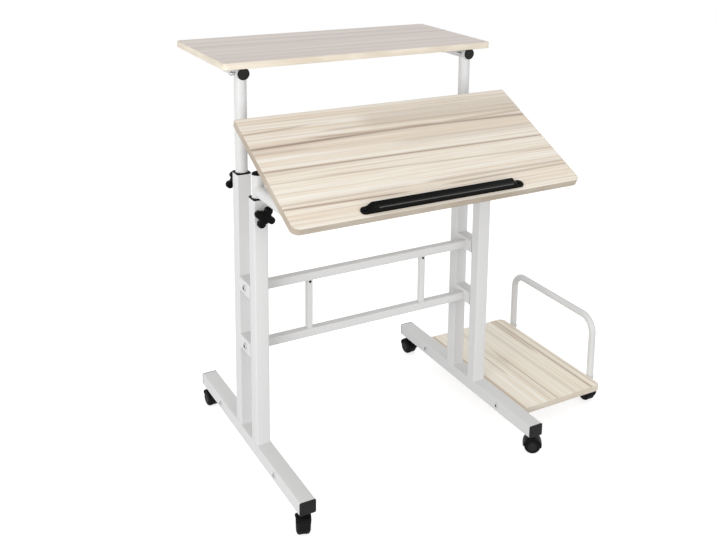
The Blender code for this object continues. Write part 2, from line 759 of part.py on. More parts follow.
def neck():
    """The shoulder that rises from the hood to the swivel plate."""
    half = NECK_WIDTH / 2
    sunk = HOOD_BORE + HOOD_THICKNESS / 2
    top = FOOT_BOTTOM - SWIVEL_GAP - SWIVEL_HEIGHT / 2
    steps = 4
    first = math.radians(80)
    last = math.radians(155)
    turns = [first + (last - first) * k / steps for k in range(steps + 1)]
    rings = []
    for x in (-half, half):
        ring = [about_axle(x, sunk, turn) for turn in turns]
        rings.append(ring + [(x, SWIVEL_RADIUS * 0.8, top), (x, -SWIVEL_RADIUS * 0.8, top)])
    return loft(rings)


def stem():
    """The round swivel plate under the foot and the stem that turns in it."""
    top = FOOT_BOTTOM - SWIVEL_GAP
    profile = [
        (SWIVEL_RADIUS, top - SWIVEL_HEIGHT),
        (SWIVEL_RADIUS, top),
        (STEM_RADIUS, top),
        (STEM_RADIUS, top + STEM_LENGTH),
    ]
    return lathe(profile, SMALL_ROUND)


def wheel_pair():
    """Two dished wheels with rounded treads on one axle, turned about the axle."""
    end = WHEEL_PAIR_WIDTH / 2
    inner = WHEEL_GAP / 2
    half = [
        (HUB_RADIUS, end),
        (HUB_RADIUS + WHEEL_DISH, end - WHEEL_DISH),
        (WHEEL_RADIUS - 2 * WHEEL_SHOULDER - WHEEL_DISH, end - WHEEL_DISH),
        (WHEEL_RADIUS - 2 * WHEEL_SHOULDER, end),
        (WHEEL_RADIUS, end - WHEEL_SHOULDER),
        (WHEEL_RADIUS, inner),
        (AXLE_RADIUS, inner),
    ]
    profile = [(radius, -z) for radius, z in half] + half[::-1]
    return lathe(profile, WHEEL_ROUND)


# The bodies

desk = frame("desk", None, (-MIDDLE_X, -MIDDLE_Y, 0))
upper_deck = frame("upper_deck", desk, (0, POST_Y, 0))
lower_deck = frame("lower_deck", desk, (0, -POST_Y, 0))
tilt_table = frame("tilt_table", desk, (0, HINGE_Y, HINGE_Z), (TILT_AT_REST, 0, 0))

for side, sign in SIDES.items():
    foot(side, sign)
    post(side, sign, "front", -1, FRONT_POST_TOP, FRONT_STAR_Z)
    post(side, sign, "rear", 1, REAR_POST_TOP, REAR_STAR_Z)
    upper_side(side, sign)
    lower_side(side, sign)
    tilt_quadrant(side, sign)
cross_frame()
upper_board()
lower_board()
pen_stop()
shelf()
hoop()

STEM_Y = FOOT_LENGTH / 2 - CASTER_STEM_INSET
caster("caster_front_left", -LEG_X, -STEM_Y, -20)
caster("caster_front_right", LEG_X, -STEM_Y, 55)
caster("caster_rear_left", -LEG_X, STEM_Y, 185)
caster("caster_rear_right", LEG_X, STEM_Y, 187)
caster("caster_shelf_front", HOOP_X, -HOOP_SPAN / 2, 180)
caster("caster_shelf_rear", HOOP_X, HOOP_SPAN / 2, 180)
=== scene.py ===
"""The desk's finished look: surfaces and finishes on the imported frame, floor, light and camera."""
import math

import bpy
import numpy as np
from mathutils import Matrix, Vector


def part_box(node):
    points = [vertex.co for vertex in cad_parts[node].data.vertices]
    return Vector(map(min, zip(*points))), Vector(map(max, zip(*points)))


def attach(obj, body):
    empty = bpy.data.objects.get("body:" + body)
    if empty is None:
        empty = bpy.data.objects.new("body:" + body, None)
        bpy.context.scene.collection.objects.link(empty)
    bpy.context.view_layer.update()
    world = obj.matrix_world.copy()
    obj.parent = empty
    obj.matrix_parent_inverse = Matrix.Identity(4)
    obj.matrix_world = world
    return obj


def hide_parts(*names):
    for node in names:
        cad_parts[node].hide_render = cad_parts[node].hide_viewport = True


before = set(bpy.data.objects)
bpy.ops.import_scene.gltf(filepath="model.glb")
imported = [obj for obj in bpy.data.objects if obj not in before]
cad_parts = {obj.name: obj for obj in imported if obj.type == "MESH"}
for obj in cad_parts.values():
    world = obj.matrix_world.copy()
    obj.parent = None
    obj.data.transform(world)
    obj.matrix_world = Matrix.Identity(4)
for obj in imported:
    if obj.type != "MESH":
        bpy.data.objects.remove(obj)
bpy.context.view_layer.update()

# Sizes in metres. X is right, Y is back and Z is up.
TILT = math.radians(25.1)
LOWER_DEPTH = 0.3435
BOARD_THICKNESS = 0.015
EDGE_ROUND = 0.0012
BOARD_CORNER = 0.004
UPPER_CORNER = 0.012
LOWER_FRONT_CORNER = 0.018
SHELF_CORNER = 0.016
TUBE_RADIUS = 0.014
TUBE_WALL = 0.0015
POST_SIDE = 0.0325
FOOT_BOTTOM = 0.0525
LEG_X = 0.298
POST_Y = 0.0495
LOWER_ARM_Z = 0.685
LOWER_ARM_FRONT = -0.268
HINGE_Y = -0.2404
HINGE_Z = 0.7315
HINGE_DROP = 0.008
HINGE_FROM_FRONT = 0.1188
SLOT_RADIUS = 0.1008
LOCK_DROP = math.radians(5.1)
LOCK_Y = HINGE_Y + SLOT_RADIUS * math.cos(LOCK_DROP)
LOCK_Z = HINGE_Z - SLOT_RADIUS * math.sin(LOCK_DROP)
GAP = 0.0003
SIDES = {"left": -1, "right": 1}
ENDS = {"front": -1, "rear": 1}
FLAT = (0, 0, 1)
TILTED = (0, -math.sin(TILT), math.cos(TILT))


def middle(node):
    return np.mean([tuple(corner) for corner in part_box(node)], axis=0)


def extent(node):
    low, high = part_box(node)
    return np.array(high) - np.array(low)


POST_MIDDLES = [middle(f"post_{end}_left") for end in ENDS]
ORIGIN = np.array([middle("upper_board")[0], np.mean(POST_MIDDLES, axis=0)[1], 0])


def at(x, y, z):
    """A point given from the middle of the boards and of the posts, on the floor."""
    return ORIGIN + (x, y, z)


# Finishes

class Paint:
    """A socket in a material's nodes. Arithmetic adds Math nodes, and node() adds any other."""

    def __init__(self, tree, socket=None):
        self.tree = tree
        self.socket = socket

    def node(self, kind, settings=None, inputs=None, output=0):
        made = self.tree.nodes.new("ShaderNode" + kind)
        for key, value in (settings or {}).items():
            setattr(made, key, value)
        for key, value in (inputs or {}).items():
            if isinstance(value, Paint):
                self.tree.links.new(value.socket, made.inputs[key])
            else:
                made.inputs[key].default_value = value
        return Paint(self.tree, made.outputs[output] if made.outputs else None)

    def math(self, operation, first, second=0.0):
        return self.node("Math", {"operation": operation}, {0: first, 1: second})

    def __add__(self, other):
        return self.math("ADD", self, other)

    def __sub__(self, other):
        return self.math("SUBTRACT", self, other)

    def __rsub__(self, other):
        return self.math("SUBTRACT", other, self)

    def __mul__(self, other):
        return self.math("MULTIPLY", self, other)

    def __abs__(self):
        return self.math("ABSOLUTE", self)

    __radd__ = __add__
    __rmul__ = __mul__

    def step(self, low, high, bottom=0.0):
        """A smooth rise from bottom at low to 1 at high."""
        limits = {"Value": self, "From Min": low, "From Max": high, "To Min": bottom}
        return self.node("MapRange", {"interpolation_type": "SMOOTHSTEP"}, limits)

    def blend(self, first, second):
        """A colour that runs from the first to the second as this goes from 0 to 1."""
        return self.node("Mix", {"data_type": "RGBA"}, {0: self, 6: first, 7: second}, 2)

    def noise(self, vector, scale, detail=2.0, roughness=0.5):
        inputs = {"Vector": vector, "Scale": scale, "Detail": detail, "Roughness": roughness}
        return self.node("TexNoise", None, inputs)

    def vector(self, x, y, z):
        return self.node("CombineXYZ", None, {0: x, 1: y, 2: z})


def colour(red, green, blue):
    return (red, green, blue, 1.0)


def finish(name, **plain):
    """A new material with plain values set: it, its paint, its shader and object coordinates."""
    made = bpy.data.materials.new(name)
    made.use_nodes = True
    shader = made.node_tree.nodes["Principled BSDF"]
    for key, value in plain.items():
        shader.inputs[key.replace("_", " ")].default_value = value
    paint = Paint(made.node_tree)
    return made, paint, shader, paint.node("TexCoord", output="Object")


def coat(paint, shader, **links):
    """Links paints to the shader's sockets, with underscores between the words of their names."""
    for key, value in links.items():
        paint.tree.links.new(value.socket, shader.inputs[key.replace("_", " ")])


def bump(paint, height, strength, distance):
    return paint.node("Bump", None, {"Height": height, "Strength": strength, "Distance": distance})


def powder_coat():
    """White stoved powder: a faint mottle in the colour and the fine orange peel of the coat."""
    made, paint, shader, spot = finish("white_steel")
    mottle = paint.noise(spot, scale=7.0, detail=3.0)
    peel = paint.noise(spot, scale=900.0)
    coat(
        paint, shader,
        Base_Color=mottle.blend(colour(0.645, 0.645, 0.645), colour(0.685, 0.685, 0.683)),
        Roughness=0.36 + 0.16 * peel,
        Normal=bump(paint, peel, strength=0.1, distance=0.0004),
    )
    return made


def moulded(name, shade, shine, roughness, grain, depth):
    """Black moulded plastic: an even spark-eroded grain, a little uneven in tone and shine."""
    made, paint, shader, spot = finish(name, Specular_IOR_Level=shine)
    tone = paint.noise(spot, scale=60.0, detail=3.0)
    pits = paint.noise(spot, scale=grain, detail=3.0, roughness=0.65)
    dark, pale = [colour(shade * part, shade * part, shade * part * 0.98) for part in (0.75, 1.25)]
    coat(
        paint, shader,
        Base_Color=tone.blend(dark, pale),
        Roughness=roughness - 0.09 + 0.18 * pits,
        Normal=bump(paint, pits, strength=depth, distance=0.0006),
    )
    return made


def plated():
    """Zinc-plated steel: a soft clouded grey metal."""
    made, paint, shader, spot = finish("zinc", Metallic=1.0)
    cloud = paint.noise(spot, scale=220.0, detail=3.0)
    coat(
        paint, shader,
        Base_Color=cloud.blend(colour(0.42, 0.42, 0.43), colour(0.6, 0.6, 0.61)),
        Roughness=0.28 + 0.22 * cloud,
    )
    return made


# Tones of each board's print: two grounds, pale and dull lines, bold streaks and the edge banding.
UPPER_TONES_PAINTED_LIGHT_AND_SHADE = dict(
    # Print painted greyer and darker than the lower board's, which is the same laminate: painted
    # shade on the top.
    light=(0.71, 0.64, 0.59), warm=(0.655, 0.58, 0.53), pale=(0.765, 0.71, 0.665),
    dull=(0.55, 0.48, 0.44), bold=(0.46, 0.39, 0.355),
    # Edge tones lighter than the print: painted light on the front edge.
    edge=(0.77, 0.7, 0.59), edge_warm=(0.65, 0.575, 0.465),
)
LOWER_TONES_EDGE_PAINTED_SHADE = dict(
    light=(0.83, 0.77, 0.66), warm=(0.735, 0.62, 0.49), pale=(0.875, 0.84, 0.785),
    dull=(0.58, 0.475, 0.385), bold=(0.32, 0.245, 0.19),
    # Edge tones darkened: painted shade on the downward-facing front edge.
    edge=(0.47, 0.415, 0.34), edge_warm=(0.37, 0.305, 0.235),
)
SHELF_TONES = dict(
    light=(0.935, 0.878, 0.752), warm=(0.85, 0.752, 0.61), pale=(0.945, 0.915, 0.845),
    dull=(0.665, 0.555, 0.445), bold=(0.44, 0.335, 0.255),
    edge=(0.69, 0.625, 0.53), edge_warm=(0.61, 0.535, 0.44),
)

# Noise of the print: how fine it is along and across the grain, its shift and its detail.
SWAY_NOISE = (1.6, 5.0, 0.0, 1.0)
GRAIN_NOISE = {
    "broad": (0.8, 18.0, 2.1, 3.0),
    "medium": (1.0, 62.0, 5.3, 3.0),
    "thin": (1.4, 150.0, 8.7, 3.0),
    "line": (2.2, 290.0, 18.4, 2.0),
    "fibre": (6.0, 520.0, 11.9, 2.0),
    "pore": (24.0, 1100.0, 15.2, 1.0),
}
GRAIN_SWAY = 0.004
# Layers of the print: strength, noise, its values where the layer is clear and full, and tone.
UNDER_STREAKS = (
    (0.75, "broad", 0.44, 0.64, "warm"),
    (0.6, "medium", 0.5, 0.68, "warm"),
    (0.7, "thin", 0.49, 0.34, "pale"),
    (0.6, "thin", 0.53, 0.68, "dull"),
    (0.55, "line", 0.48, 0.34, "pale"),
    (0.6, "line", 0.52, 0.66, "warm"),
)
OVER_STREAKS = (
    (0.26, "fibre", 0.42, 0.7, "dull"),
    (0.14, "pore", 0.62, 0.74, "bold"),
)

# Bold streaks: place across the grain, half width, slope, start and end along the grain, strength.
UPPER_STREAKS = (
    (0.101, 0.004, 0.004, -0.4, 0.4, 0.4), (0.041, 0.005, -0.006, -0.4, 0.4, 0.35),
    (-0.066, 0.004, 0.003, -0.4, 0.4, 0.4), (-0.111, 0.003, 0.005, -0.4, 0.4, 0.35),
    (-0.149, 0.003, -0.004, -0.4, 0.4, 0.35),
)
LOWER_STREAKS = (
    (0.0763, 0.003, 0.0244, -0.4, 0.12, 1.00), (0.0789, 0.0026, -0.0207, -0.02, 0.4, 0.95),
    (0.0767, 0.0022, -0.03, -0.24, 0.05, 0.55), (0.0741, 0.003, 0.043, 0.1, 0.4, 0.45),
    (-0.0058, 0.0017, -0.0071, -0.4, 0.4, 0.85), (-0.0435, 0.0013, -0.027, -0.25, 0.4, 0.35),
    (-0.1218, 0.0016, -0.021, -0.4, -0.05, 0.9), (-0.101, 0.0022, 0.0, -0.05, 0.4, 0.5),
    (-0.116, 0.0016, 0.008, 0.0, 0.4, 0.65), (-0.102, 0.003, 0.0, -0.4, -0.02, 0.25),
    (0.102, 0.002, 0.0, -0.2, 0.4, 0.4), (0.1377, 0.0016, 0.06, -0.4, -0.18, 0.6),
    (0.12, 0.02, 0.0, -0.1, 0.4, 0.25), (0.034, 0.006, 0.0, -0.05, 0.4, 0.2),
    (0.052, 0.004, 0.0, -0.4, -0.2, 0.25),
)
SHELF_STREAKS = (
    (0.099, 0.0022, 0.0, -0.3, 0.3, 0.8), (0.088, 0.003, 0.0, -0.02, 0.3, 0.55),
    (0.119, 0.0015, 0.0, -0.3, 0.3, 0.4), (0.044, 0.004, 0.0, -0.3, 0.3, 0.25),
    (-0.0135, 0.0018, 0.0, -0.3, 0.1, 0.75), (-0.02, 0.005, 0.0, -0.04, 0.06, 0.35),
    (-0.033, 0.004, 0.0, -0.3, 0.3, 0.3), (-0.056, 0.0017, 0.0, -0.09, 0.1, 0.6),
    (-0.116, 0.002, 0.0, -0.3, 0.3, 0.75),
)
STREAK_FADE = 0.07
STREAK_BAND = 0.7
# Outer and inner edge of a streak's soft band and of its core, in half widths.
BAND_EDGE = (4.2, 0.8)
CORE_EDGE = (1.7, 0.4)
# The core is thinned to its least strength where the medium noise is low.
CORE_BREAKS = (0.15, 0.55, 0.6)
GRAIN_X = 0
GRAIN_Y = 1


def board_axes(paint, spot, centre, tilt):
    """The coordinates along a board's width, depth and thickness, from its middle."""
    placing = {"Vector": spot, "Location": tuple(centre), "Rotation": (tilt, 0, 0)}
    local = paint.node("Mapping", {"vector_type": "TEXTURE"}, placing)
    return [paint.node("SeparateXYZ", None, {0: local}, axis) for axis in range(3)]


def laminate(name, centre, tilt, grain, streaks, tones, seed):
    """Pale streaked wood print. Noise drawn out along the grain gives broad tones, thin lines and
    fibres, and each bold streak is a dark core in a soft band that fades at its ends."""
    made, paint, shader, spot = finish(name)
    tones = {key: colour(*tone) for key, tone in tones.items()}
    parts = board_axes(paint, spot, centre, tilt)
    along = parts[grain]
    across = parts[1 - grain]

    def drawn(pull, pitch, shift, detail):
        return paint.noise(paint.vector(along * pull, across * pitch, seed + shift), 1.0, detail)

    def lay(layers, tone):
        for strength, key, clear, full, over in layers:
            tone = (strength * noises[key].step(clear, full)).blend(tone, tones[over])
        return tone

    across = across + GRAIN_SWAY * (drawn(*SWAY_NOISE) - 0.5)
    noises = {key: drawn(*shape) for key, shape in GRAIN_NOISE.items()}
    tone = lay(UNDER_STREAKS, tones["light"])
    for place, half, slope, first, last, strength in streaks:
        off = abs(across - place - slope * along)
        ends = along.step(first, first + STREAK_FADE) * along.step(last, last - STREAK_FADE)
        band = off.step(half * BAND_EDGE[0], half * BAND_EDGE[1]) * ends
        tone = (STREAK_BAND * strength * band).blend(tone, tones["dull"])
        core = off.step(half * CORE_EDGE[0], half * CORE_EDGE[1]) * ends
        tone = (strength * core * noises["medium"].step(*CORE_BREAKS)).blend(tone, tones["bold"])
    tone = lay(OVER_STREAKS, tone)
    coat(
        paint, shader,
        Base_Color=tone,
        Roughness=0.42 + 0.14 * noises["fibre"],
        Normal=bump(paint, noises["fibre"], strength=0.06, distance=0.0004),
    )
    return made


def edging(name, centre, tilt, tones, seed):
    """Edge banding: a plain cream strip with long thin lines that follow the board's edge."""
    made, paint, shader, spot = finish(name)
    # The edge tones hold painted light on the upper board and painted shade on the lower board.
    light, warm, dull = [colour(*tones[key]) for key in ("edge", "edge_warm", "dull")]
    x, y, z = board_axes(paint, spot, centre, tilt)

    def drawn(level, rise, detail):
        return paint.noise(paint.vector(x * level, y * level, z * rise + seed), 1.0, detail)

    line = drawn(level=3.0, rise=420.0, detail=3.0)
    patch = drawn(level=9.0, rise=30.0, detail=2.0)
    tone = patch.step(0.3, 0.72).blend(light, warm)
    coat(
        paint, shader,
        Base_Color=(0.35 * line.step(0.52, 0.74)).blend(tone, dull),
        Roughness=0.42 + 0.16 * line,
        Normal=bump(paint, line, strength=0.08, distance=0.0003),
    )
    return made


WHITE = powder_coat()
BLACK = moulded("black_plastic", shade=0.0035, shine=0.06, roughness=0.46, grain=1500.0, depth=0.18)
GLOSSY = moulded("black_gloss", shade=0.003, shine=0.05, roughness=0.34, grain=1100.0, depth=0.06)
# A lighter grey: painted highlight along the pen stop's ridge.
RIDGE_PAINTED_HIGHLIGHT = moulded("ridge_painted_highlight", shade=0.085, shine=0.2, roughness=0.34, grain=1100.0, depth=0.06)
GUARD = moulded("black_guard", shade=0.005, shine=0.09, roughness=0.42, grain=1500.0, depth=0.14)
CAP = moulded("black_cap", shade=0.02, shine=0.08, roughness=0.46, grain=1500.0, depth=0.14)
TREAD = moulded("tread", shade=0.006, shine=0.08, roughness=0.6, grain=900.0, depth=0.2)
ZINC = plated()
RECORD_SLOTS = {
    WHITE: "white_steel", BLACK: "black_plastic", GUARD: "black_plastic", CAP: "black_plastic",
    GLOSSY: "black_gloss", TREAD: "tread",
}


# Surfaces

NEARLY_UP = 0.8


def basis(axis):
    """Rows: two directions across an axis, the first one level, and then the axis itself."""
    up = np.array(axis, float) / np.linalg.norm(axis)
    guide = (0, 1, 0) if abs(up[2]) > NEARLY_UP else (0, 0, 1)
    side = np.cross(guide, up)
    side /= np.linalg.norm(side)
    return np.array([side, np.cross(up, side), up])


def put(rings, origin, axis=FLAT):
    """Rings drawn about the Z axis, set on an origin along another axis."""
    return np.asarray(rings) @ basis(axis) + origin


def skin(rings, closed=False, slots=None):
    """Quads between neighbouring rings of points on a grid. A closed skin joins the last ring to
    the first, an open one is capped. Its signed volume, the sum of its faces' cones to the middle,
    tells which way to turn it. Slots number the finish of each band, and then of the caps."""
    rings = np.asarray(rings, float)
    rows, count = rings.shape[:2]
    points = rings.reshape(-1, 3)
    index = np.arange(rows * count).reshape(rows, count)
    low = index if closed else index[:-1]
    high = np.roll(index, -1, axis=0) if closed else index[1:]
    corners = [low, np.roll(low, -1, axis=1), np.roll(high, -1, axis=1), high]
    quads = np.stack(corners, -1).reshape(-1, 4)
    faces = quads.tolist()
    slots = np.zeros(len(low) + 2, int) if slots is None else np.asarray(slots)
    marks = np.repeat(slots[:len(low)], count)
    corner = points[quads] - points.mean(0)
    volume = np.einsum("ij,ij->", corner[:, 0], np.cross(corner[:, 1], corner[:, 2]))
    volume += np.einsum("ij,ij->", corner[:, 0], np.cross(corner[:, 2], corner[:, 3]))
    if not closed:
        for cap in (index[0, ::-1], index[-1]):
            faces.append(cap.tolist())
            fan = points[cap] - points.mean(0)
            volume += np.einsum("j,ij->", fan[0], np.cross(fan[1:-1], fan[2:]))
        marks = np.concatenate([marks, slots[len(low):]])
    if volume < 0:
        faces = [face[::-1] for face in faces]
    return points, faces, marks


def piece(name, shells, finishes, body, nodes=(), sharp=38.0):
    """One object from closed shells, at the origin, riding on a body and standing for nodes."""
    points = np.concatenate([shell[0] for shell in shells])
    starts = np.cumsum([0] + [len(shell[0]) for shell in shells])
    faces = [
        [corner + start for corner in face]
        for start, shell in zip(starts, shells) for face in shell[1]
    ]
    mesh = bpy.data.meshes.new(name)
    mesh.from_pydata(points, [], faces)
    marks = np.concatenate([shell[2] for shell in shells])
    mesh.polygons.foreach_set("material_index", marks.astype(np.int32))
    for made in finishes:
        mesh.materials.append(made)
    mesh.shade_smooth()
    mesh.set_sharp_from_angle(angle=math.radians(sharp))
    item = bpy.data.objects.new(name, mesh)
    bpy.context.scene.collection.objects.link(item)
    if nodes:
        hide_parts(*nodes)
    finishes[0] in RECORD_SLOTS
    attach(item, body)
    return item


SMALL_ROUND = 24


def circle(radius, count=48):
    """Points on a circle, at even angles."""
    turn = np.arange(count) * math.tau / count
    return np.stack([radius * np.cos(turn), radius * np.sin(turn)], -1)


def rounded(width, height, radius, steps=6):
    """A rectangle's outline: each corner is a quarter circle, its centre set in by its radius."""
    radius = np.broadcast_to(radius, 4).astype(float)
    turn = (np.arange(4)[:, None] + np.linspace(0, 1, steps + 1)) * math.pi / 2
    side = np.array([(1, 1), (-1, 1), (-1, -1), (1, -1)])
    centre = side * (np.array([width, height]) / 2 - radius[:, None])
    ring = centre[:, None] + radius[:, None, None] * np.stack([np.cos(turn), np.sin(turn)], -1)
    return ring.reshape(-1, 2)


def rounded_polar(side, corner, count=96):
    """A rounded square at a circle's angles: the reach to its flat, or past it to a corner."""
    across = np.sort(np.abs(circle(1.0, count)), axis=1)
    half = side / 2
    core = half - corner
    reach = half / across[:, 1]
    along = core * across.sum(1)
    arc = along + np.sqrt(np.maximum(along**2 - 2 * core**2 + corner**2, 0))
    return circle(1.0, count) * np.where(reach * across[:, 0] > core, arc, reach)[:, None]


def lifted(outline, height):
    """A flat outline raised to one height, or to a height for each point."""
    return np.column_stack([outline, np.broadcast_to(height, len(outline))])


def turned(profile, count=48):
    """A profile of (radius, height) rows carried round the Z axis."""
    profile = np.asarray(profile, float)
    ring = circle(1.0, count)
    rings = np.empty((len(profile), count, 3))
    rings[:, :, :2] = profile[:, None, :1] * ring
    rings[:, :, 2] = profile[:, 1:]
    return rings


def quarter(radius, height, centre_radius, centre_height, first, last, steps=6):
    """Profile rows on an ellipse arc between two angles, in degrees, about a centre."""
    turn = np.radians(np.linspace(first, last, steps + 1))
    rise = centre_height + height * np.sin(turn)
    return np.stack([centre_radius + radius * np.cos(turn), rise], -1)


def hollow(outer, inner, length, far_outer=None, far_inner=None):
    """An open tube along Z: outer wall, far rim, inner wall, near rim. Its far end may be coped."""
    far_outer = length if far_outer is None else far_outer
    far_inner = length if far_inner is None else far_inner
    walls = ((outer, 0), (outer, far_outer), (inner, far_inner), (inner, 0))
    return np.stack([lifted(outline, height) for outline, height in walls])


def stood_at(x, outline):
    """An outline in Y and Z, set at a place along X."""
    return np.column_stack([np.full(len(outline), x), outline])


BEAD_RIPPLE = 0.13
BEAD_RUN = 0.0032
BEAD_SIDES = 10
BEAD_POINTS = 220
FRAME_BEAD = 0.0013


def bead(path, out, up, size):
    """A weld: a circle carried along a closed line, its radius rippled by the runs of the torch."""
    step = np.linalg.norm(np.diff(path, axis=0, append=path[:1]), axis=1)
    runs = round(step.sum() / BEAD_RUN)
    ripple = 1 + BEAD_RIPPLE * np.sin(np.cumsum(step) / step.sum() * math.tau * runs)
    turn = np.arange(BEAD_SIDES) * math.tau / BEAD_SIDES
    across = np.cos(turn)[None, :, None] * out[:, None] + np.sin(turn)[None, :, None] * up[:, None]
    return skin(path[:, None] + size * ripple[:, None, None] * across, closed=True)


def outline_bead(outline, origin, axis):
    """A weld round an outline that stands on a flat face, its points spread evenly along it."""
    loop = np.vstack([outline, outline[:1]])
    length = np.concatenate([[0], np.cumsum(np.linalg.norm(np.diff(loop, axis=0), axis=1))])
    spread = np.linspace(0, length[-1], BEAD_POINTS, endpoint=False)
    flat = np.stack([np.interp(spread, length, loop[:, column]) for column in (0, 1)], -1)
    tangent = np.roll(flat, -1, axis=0) - np.roll(flat, 1, axis=0)
    out = np.stack([tangent[:, 1], -tangent[:, 0]], -1)
    out /= np.linalg.norm(out, axis=1, keepdims=True)
    rows = basis(axis)
    up = np.broadcast_to(rows[2], (len(flat), 3))
    return bead(put(lifted(flat, 0), origin, axis), lifted(out, 0) @ rows, up, FRAME_BEAD)


# Boards

EDGE_STATIONS = 6
CORNER_STEPS = 16


def panel(name, body, centre, size, corners, tilt, grain, streaks, tones, seeds):
    """A board: its outline carried over two flats and rounded arrises, and capped by its faces."""
    finishes = [
        laminate(f"laminate_{name}", centre, tilt, grain, streaks, tones, seeds[0]),
        edging(f"edging_{name}", centre, tilt, tones, seeds[1]),
    ]
    width, depth, thickness = size
    turn = np.radians(np.linspace(-90, 0, EDGE_STATIONS))
    rise = EDGE_ROUND * (1 + np.sin(turn))
    inset = EDGE_ROUND * (1 - np.cos(turn))
    insets = np.concatenate([inset, inset[::-1]])
    heights = np.concatenate([rise, thickness - rise[::-1]]) - thickness / 2
    corners = np.array(corners)
    rings = [
        lifted(rounded(width - 2 * trim, depth - 2 * trim, corners - trim, CORNER_STEPS), height)
        for trim, height in zip(insets, heights)
    ]
    slots = [1] * (len(rings) - 1) + [0, 0]
    shell = skin(put(rings, centre, TILTED if tilt else FLAT), slots=slots)
    made = piece(f"{name}_top", [shell], finishes, body, [f"{name}_board"])


def boards():
    panel(
        "upper", "upper_deck", middle("upper_board"), extent("upper_board"), [UPPER_CORNER] * 4,
        0, GRAIN_X, UPPER_STREAKS, UPPER_TONES_PAINTED_LIGHT_AND_SHADE, (3.7, 1.3),
    )
    reach = np.array([0, LOWER_DEPTH / 2 - HINGE_FROM_FRONT, HINGE_DROP + BOARD_THICKNESS / 2])
    panel(
        "lower", "tilt_table", at(0, HINGE_Y, HINGE_Z) + reach @ basis(TILTED),
        (extent("lower_board")[0], LOWER_DEPTH, BOARD_THICKNESS),
        [BOARD_CORNER, BOARD_CORNER, LOWER_FRONT_CORNER, LOWER_FRONT_CORNER],
        TILT, GRAIN_X, LOWER_STREAKS, LOWER_TONES_EDGE_PAINTED_SHADE, (9.1, 4.9),
    )
    panel(
        "shelf", "base", middle("shelf_board"), extent("shelf_board"),
        [SHELF_CORNER, BOARD_CORNER, BOARD_CORNER, SHELF_CORNER],
        0, GRAIN_Y, SHELF_STREAKS, SHELF_TONES, (21.3, 7.7),
    )


# Base frame

FOOT_WALL = 0.0016
FRAME_WALL = 0.0012
FRAME_CORNER = 0.003
RAIL_CORNER = 0.002


def square_member(node, wall, corner, beads=()):
    """A square tube along its longest side, with a weld at each end that stands on another tube."""
    size = extent(node)
    axis = np.eye(3)[size.argmax()]
    low = middle(node) - axis * size / 2
    width, height = np.abs(basis(axis)[:2] @ size)
    outer = rounded(width, height, corner)
    inner = rounded(width - 2 * wall, height - 2 * wall, corner - wall)
    shells = [skin(put(hollow(outer, inner, size.max()), low, axis), closed=True)]
    for end in beads:
        shells.append(outline_bead(outer, low + end * axis * size.max(), axis))
    piece(f"{node}_tube", shells, [WHITE], "base", [node])


def base_frame():
    for side in SIDES:
        square_member(f"foot_{side}", FOOT_WALL, FRAME_CORNER)
        for end in ENDS:
            square_member(f"post_{end}_{side}", FRAME_WALL, FRAME_CORNER, (0,))
        for height in ("lower", "upper"):
            square_member(f"tie_{height}_{side}", FRAME_WALL, FRAME_CORNER)
        square_member(f"strut_{side}", FRAME_WALL, RAIL_CORNER, (0, 1))
    for height in ("lower", "upper"):
        square_member(f"rail_{height}", FRAME_WALL, RAIL_CORNER, (0, 1))


PLUG_CORNER = 0.0032
PLUG_SHANK = 0.0015
PLUG_LEAD = (0.0022, 0.0008)
PLUG_FLANGE = 0.0023
PLUG_RIM = 0.0003
# Inset and depth of the flange's rounded face.
PLUG_FACE = ((-0.0008, -0.002), (-0.0008, -0.0009), (-0.0004, -0.0003), (0.0004, 0.0))


def foot_plugs():
    """A plug's rings: a shank in the tube, then a flange over the tube's rim, its face rounded."""
    for side in SIDES:
        for end, along in ENDS.items():
            node = f"foot_plug_{end}_{side}"
            width, length, height = extent(node)
            face = middle(node) + (0, along * length / 2, 0)
            shank = (
                (PLUG_LEAD[0], -length), (PLUG_SHANK, PLUG_LEAD[1] - length),
                (PLUG_SHANK, -PLUG_FLANGE), (PLUG_RIM, -PLUG_FLANGE),
            )
            rings = []
            for inset, depth in (*shank, *PLUG_FACE):
                outline = rounded(width - 2 * inset, height - 2 * inset, PLUG_CORNER - inset / 2)
                rings.append(lifted(outline, depth))
            piece(f"{node}_cap", [skin(put(rings, face, (0, along, 0)))], [CAP], "base", [node])


SKIRT_PLAY = 0.003
SKIRT_CORNER = 0.0018
COLLAR_CORNER = 0.003
COLLAR_LIP = 0.0008
LIP_STATIONS = 5
BORE_PLAY = 0.00025
BORE_LEAD = (0.0006, 0.0008)
BORE_POINTS = 96


def collars():
    """A collar's rings: square skirt in the post, flange with a round arris, bore with a lead."""
    skirt = rounded_polar(POST_SIDE - SKIRT_PLAY, SKIRT_CORNER)
    bore = TUBE_RADIUS + BORE_PLAY
    for side in SIDES:
        for end in ENDS:
            node = f"collar_{end}_{side}"
            low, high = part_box(node)
            flange = extent(node)[0]
            top = high[2]
            bottom = low[2] - top
            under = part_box(f"post_{end}_{side}")[1][2] + GAP - top
            rings = [lifted(skirt, bottom), lifted(skirt, under)]
            rings.append(lifted(rounded_polar(flange, COLLAR_CORNER), under))
            for turn in np.linspace(0, math.pi / 2, LIP_STATIONS):
                edge = rounded_polar(flange - 2 * COLLAR_LIP * (1 - math.cos(turn)), COLLAR_CORNER)
                rings.append(lifted(edge, COLLAR_LIP * (math.sin(turn) - 1)))
            bores = ((bore + BORE_LEAD[0], 0), (bore, -BORE_LEAD[1]), (bore, bottom))
            rings += [lifted(circle(radius, BORE_POINTS), height) for radius, height in bores]
            origin = middle(node) * (1, 1, 0) + (0, 0, top)
            piece(f"{node}_liner", [skin(put(rings, origin), closed=True)], [BLACK], "base", [node])


# Telescopic tubes and arms

